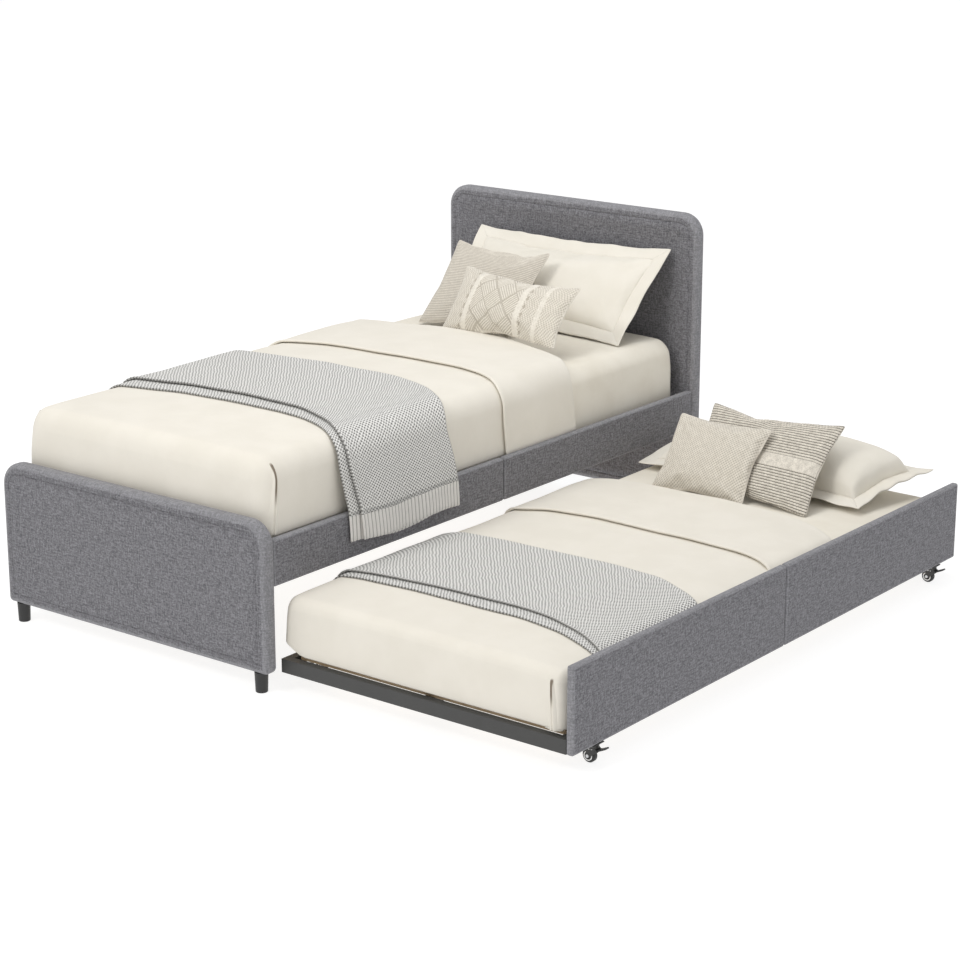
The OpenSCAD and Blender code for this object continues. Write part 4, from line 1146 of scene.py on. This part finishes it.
def lumbar_relief(u, v, i, j, x, y):
    """A lattice of ribbed diamonds between two plain bands, with rows of stitches and nubbly ends."""
    cell, pitch = 0.060, 0.0080
    lattice = smoothstep(0.222, 0.228, u) * (1 - smoothstep(0.632, 0.638, u))
    bands = (smoothstep(0.182, 0.188, u) * (1 - smoothstep(0.222, 0.228, u))
             + smoothstep(0.632, 0.638, u) * (1 - smoothstep(0.672, 0.678, u)))
    p, q = (x + y) / math.sqrt(2), (x - y) / math.sqrt(2)
    parity = (np.floor(p / cell) + np.floor(q / cell)) % 2
    ribs = np.where(parity > 0.5, np.cos(2 * math.pi * p / pitch), np.cos(2 * math.pi * q / pitch))
    border = np.minimum(np.abs(p / cell - np.round(p / cell)), np.abs(q / cell - np.round(q / cell))) * cell
    ribs = np.where(border < 0.0014, -1.0, ribs * (0.8 + 0.2 * np.cos(2 * math.pi * i)))
    nubs = np.cos(2 * math.pi * i * 0.75 + 2 * np.sin(j)) * np.cos(2 * math.pi * j * 0.75)
    holes = bell(u, 0.168, 0.006) + bell(u, 0.692, 0.006)
    nubs -= 2.2 * holes * (np.cos(2 * math.pi * y / 0.030) > 0.2)
    cords = bell(u, 0.806, 0.006) + bell(u, 0.824, 0.006)
    ends = nubs * (1 - np.clip(cords, 0, 1)) + 1.4 * cords
    return 0.0012 * (lattice * ribs + bands * 1.3 + (1 - lattice - bands) * ends)


CUSHIONS = [
    Cushion("sham_pillow_case", "sham_pillow", "bed", "sham_cotton", (0.528, 1.800, 0.616), 49, 1.0,
            (0.720, 0.362), (0.050, 0.040), flange=0.040, drawn=0.045, fill=0.7, seed=31),
    Cushion("ribbed_cushion_cover", "ribbed_cushion", "bed", "ribbed_knit", (0.379, 1.645, 0.616), 48, -1.5,
            (0.392, 0.339), (0.032, 0.030), (0.0120, 0.0064), relief=rib_relief, levels=2, corner=0.022,
            fill=0.7, seed=32),
    Cushion("lumbar_cushion_cover", "lumbar_cushion", "bed", "lumbar_weave", (0.612, 1.520, 0.646),
            55.5, -7.5, (0.511, 0.226), (0.045, 0.012), (0.0080, 0.0080), relief=lumbar_relief, levels=2,
            fill=0.8, seed=33),
    Cushion("trundle_sham_pillow_case", "trundle_sham_pillow", "trundle", "sham_cotton",
            (1.439, 1.691, 0.284), 7, -0.8, (0.797, 0.350), (0.100, 0.035), flange=0.042, drawn=0.062,
            hump=0.045, fill=0.7, seed=34),
    Cushion("trundle_striped_cushion_cover", "trundle_striped_cushion", "trundle", "striped_weave",
            (1.494, 1.567, 0.260), 45.6, 0.2, (0.473, 0.325), (0.026, 0.012), (0.0098, 0.0092),
            relief=stripe_relief, levels=2, corner=0.020, seed=35),
    Cushion("trundle_knit_cushion_cover", "trundle_knit_cushion", "trundle", "dotted_knit",
            (1.361, 1.538, 0.260), 51.8, -1.1, (0.337, 0.265), (0.040, 0.010), (0.0050, 0.0055),
            relief=dot_relief, corner=0.020, seed=36, pull=0.055),
]


def make_pleat(name, stack, body, face, place, radii, z_low, z_high, slant):
    """A tucked corner: two soft ridges of cloth with a shaded slit between, a little wider near its top.
    face is (axis, side) of the duvet's block, place where the slit starts along the other level axis,
    z_low and z_high its ends, and slant how far it has moved by its top."""
    low, high = DUVET_BLOCKS[body]
    axis, side = face
    other = 1 - axis
    rise, sunk, floor = 0.008, 0.003, 0.0045
    step = np.linspace(-1, 1, 45)[None]
    up = np.linspace(0, 1, 60)[:, None]
    half = 0.026 * (1 - 0.68 * up ** 3)
    from_slit = half * np.sign(step) * np.abs(step) ** 1.8
    z = z_low + (z_high - z_low) * up
    level = place + slant * up + from_slit
    beyond = level - np.clip(level, low[other] + radii[other], high[other] - radii[other])
    above = np.clip(z - (high[2] - radii[2]), 0, None)
    inner = np.sqrt(np.clip(1 - (beyond / radii[other]) ** 2 - (above / radii[2]) ** 2, 0.02, 1))
    normal = np.zeros(level.shape + (3,))
    normal[..., axis] = side * inner / radii[axis]
    normal[..., other] = beyond / radii[other] ** 2
    normal[..., 2] = above / radii[2] ** 2
    normal /= np.linalg.norm(normal, axis=2)[..., None]
    wide = 0.0016 + 0.0012 * np.exp(-((up - 0.93) / 0.05) ** 2)
    slit = (1 - smoothstep(wide, wide + 0.0016, np.abs(from_slit))) * (1 - smoothstep(0.945, 0.97, up))
    ridge = np.exp(-((from_slit / (0.45 * half)) ** 2)) * (1 - smoothstep(0.95, 1.0, up))
    lift = rise * ridge * (1 - slit) + floor * slit - sunk
    grid = np.zeros(level.shape + (3,))
    grid[..., axis] = (high if side > 0 else low)[axis] - side * radii[axis] * (1 - inner)
    grid[..., other] = level
    grid[..., 2] = z
    grid += lift[..., None] * normal
    grid = stack.settle_grid(grid)
    points, quads, source = sheet_shell(grid, 0.0012)
    shade = 1 - smoothstep(wide + 0.0008, wide + 0.0026, np.abs(from_slit))
    shade *= smoothstep(0.35, 0.65, up) * (1 - smoothstep(0.955, 0.98, up))
    cloth = np.stack([from_slit + 0 * up, z + 0 * step, shade], axis=2).reshape(-1, 3)
    piece = new_piece(name, points, quads, body, "duvet_cotton", cloth[source])
    return piece


# How round the duvets' edges are along X, Y and Z, and how far the lower one spreads towards the wall.
BED_ROUND = (0.060, 0.052, 0.062)
TRUNDLE_ROUND = (0.028, 0.036, 0.032)
WALL_SPREAD = 0.014


def make_bedding():
    make_mattress("mattress_in_sheet", BED, "mattress", "bed", (0.05, 0.045, 0.05))
    make_mattress("trundle_mattress_in_sheet", TRUNDLE, "trundle_mattress", "trundle", (0.05, 0.06, 0.045))
    make_duvet("duvet_cover", BED, "duvet", "bed", 1.42, BED_ROUND, 0.012)
    make_duvet("trundle_duvet_cover", TRUNDLE, "trundle_duvet", "trundle", 1.42, TRUNDLE_ROUND, 0.10, 0.010,
               WALL_SPREAD, 0.030, 0.0025)
    low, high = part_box("duvet")
    left, right = low.x - CORNER.x, high.x - CORNER.x
    top = high.z - FOLD_RISE
    way = Crosswise([(left, low.z + 0.01), (left, top), (right, top), (right, low.z + 0.01)], (0.062, 0.062))
    make_fold_back("duvet_fold_back", BED, "bed", way,
                   [(0.0, 1.05), (0.05, 1.08), (0.24, 1.143), (0.49, 1.147), (0.75, 1.150), (0.86, 1.133),
                    (0.955, 1.088), (1.05, 1.085), (1.15, 1.095)],
                   [(0.0, 1.46), (0.28, 1.510), (0.38, 1.542), (0.62, 1.545), (0.72, 1.515), (0.85, 1.477),
                    (0.98, 1.43), (1.15, 1.451)])
    make_throw("throw_blanket", BED, "throw", "bed",
               Crosswise([(0.0325, 0.434), (0.0325, top + 0.0005), (right + 0.003, top + 0.0005),
                          (1.0085, 0.432), (1.0085, 0.343)], (0.062, 0.064, 0.30)),
               [(0.05, 0.380), (0.30, 0.428), (0.547, 0.440), (0.78, 0.428), (0.866, 0.397),
                (0.964, 0.345), (1.023, 0.334), (1.25, 0.350)],
               [(0.0, 0.440), (0.30, 0.484), (0.50, 0.493), (0.737, 0.478), (0.866, 0.428), (0.97, 0.368),
                (1.03, 0.364), (1.25, 0.394)],
               [(0.02, 0.885), (0.09, 0.900), (0.45, 0.925), (0.72, 0.920), (0.85, 0.884), (1.0, 0.796),
                (1.25, 0.816)],
               (0.075, 0.075), 0.0062, 0.0012)
    low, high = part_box("trundle_duvet")
    left, right = low.x - CORNER.x - WALL_SPREAD, high.x - CORNER.x - 0.010
    top = high.z - FOLD_RISE
    way = Crosswise([(left, 0.14), (left, top), (right, top), (right, 0.18)], (0.032, 0.045))
    make_fold_back("trundle_duvet_fold_back", TRUNDLE, "trundle", way,
                   [(1.02, 1.06), (1.11, 1.122), (1.28, 1.145), (1.65, 1.126), (1.80, 1.118),
                    (1.86, 1.099), (1.95, 1.04)],
                   [(0.98, 1.42), (1.07, 1.499), (1.18, 1.515), (1.47, 1.521), (1.70, 1.506),
                    (1.82, 1.473), (1.93, 1.40)])
    make_throw("trundle_throw_blanket", TRUNDLE, "trundle_throw", "trundle",
               Crosswise([(left - 0.004, 0.125), (left - 0.004, top + 0.0005), (right + 0.002, top + 0.0005),
                          (right + 0.002, 0.21)], (0.038, 0.045)),
               [(1.00, 0.278), (1.06, 0.297), (1.22, 0.309), (1.41, 0.311), (1.61, 0.318), (1.75, 0.300),
                (1.86, 0.256), (1.95, 0.215)],
               [(1.00, 0.308), (1.06, 0.326), (1.19, 0.343), (1.37, 0.358), (1.58, 0.366), (1.70, 0.350),
                (1.82, 0.308), (1.92, 0.250), (1.98, 0.225)],
               [(0.94, 0.66), (1.00, 0.700), (1.045, 0.781), (1.35, 0.796), (1.59, 0.800), (1.74, 0.786),
                (1.87, 0.728), (1.94, 0.683)],
               (0.0, 0.0), 0.0052, 0.0008)


def turned(name, profile, centre, axis, body, slot, material):
    """A solid of revolution: profile is (radius, distance along the axis) pairs from end to end."""
    spin = Vector(axis).to_track_quat("Z", "Y").to_matrix()
    angles = np.linspace(0, 2 * math.pi, 33)[:-1]
    rings = []
    for radius, along in profile:
        ring = [spin @ Vector((radius * math.cos(a), radius * math.sin(a), along)) for a in angles]
        rings.append(np.array([Vector(centre) + p for p in ring]))
    index = np.arange(len(profile) * len(angles)).reshape(len(profile), -1)
    faces = grid_quads(index, wrap=True).tolist() + [index[0].tolist(), index[-1].tolist()]
    return new_piece(name, np.concatenate(rings), faces, body, slot, material=material)


def make_casters():
    """Bright hub rings and caps on the wheels and domed rivets through the forks."""
    bright = make_plastic("white_hub", (0.78, 0.78, 0.77), 0.4)
    for number in range(1, 5):
        low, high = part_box(f"wheel_{number}")
        hub = (low + high) / 2
        half = (high.y - low.y) / 2
        for side, sign in (("a", -1), ("b", 1)):
            face = hub + Vector((0, sign * (half - 0.0004), 0))
            ring = [(0.0098, 0.0), (0.0098, 0.0009), (0.0104, 0.0014), (0.0122, 0.0014), (0.0128, 0.0009),
                    (0.0128, 0.0)]
            turned(f"caster_{number}_hub_ring_{side}", ring, face, (0, sign, 0), f"caster_{number}_wheel",
                   "zinc_steel", bright)
            fork_low, fork_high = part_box(f"fork_{number}")
            middle = (fork_low.y + fork_high.y) / 2
            for place, (x, z) in enumerate(((-0.002, 0.040), (0.006, 0.0405))):
                rivet = [(0.0024, 0.0), (0.0024, 0.0004), (0.0018, 0.0010), (0.0008, 0.0013)]
                at = (hub.x + 0.006 + x, hub.y + sign * 0.0112, z)
                turned(f"caster_{number}_rivet_{side}_{place + 1}", rivet, at, (0, sign, 0),
                       f"caster_{number}", "zinc_steel", bright)


def soften_edges():
    """Small rounded arrises on the metal and timber parts."""
    sharp = ("trundle_end_rail", "trundle_front_rail", "trundle_back_rail", "trundle_center_rail",
             "trundle_slats", "bed_slats", "slat_ledge", "rail_brackets", "rail_joiner", "trundle_corner",
             "trundle_panel_joiner")
    for name, shape in frame["nodes"].items():
        if name.startswith(sharp):
            weld = shape.modifiers.new("weld", "WELD")
            weld.merge_threshold = 0.00002
            bevel = shape.modifiers.new("arris", "BEVEL")
            bevel.width = 0.0008
            bevel.segments = 2
            bevel.limit_method = "ANGLE"
            bevel.angle_limit = math.radians(40)
            bevel.harden_normals = True


make_camera()
make_stage()
make_boards()
make_bedding()
for where, side in (("room", 1), ("wall", -1)):
    make_pleat(f"duvet_pleat_{where}", BED, "bed", (0, side), CORNER.y + 0.085, BED_ROUND,
               0.424, 0.634, 0.016)
make_pleat("trundle_duvet_pleat", TRUNDLE, "trundle", (1, -1), CORNER.x + 1.900, TRUNDLE_ROUND,
           0.103, 0.252, -0.006)
make_casters()
for cushion in CUSHIONS:
    make_cushion(cushion)
soften_edges()
subparts = {part["node"]: part["material_slot"] for part in frame["record"]["subparts"]}
for name, shape in frame["nodes"].items():
    shape.data.materials.clear()
    shape.data.materials.append(MATERIALS[subparts[name]])
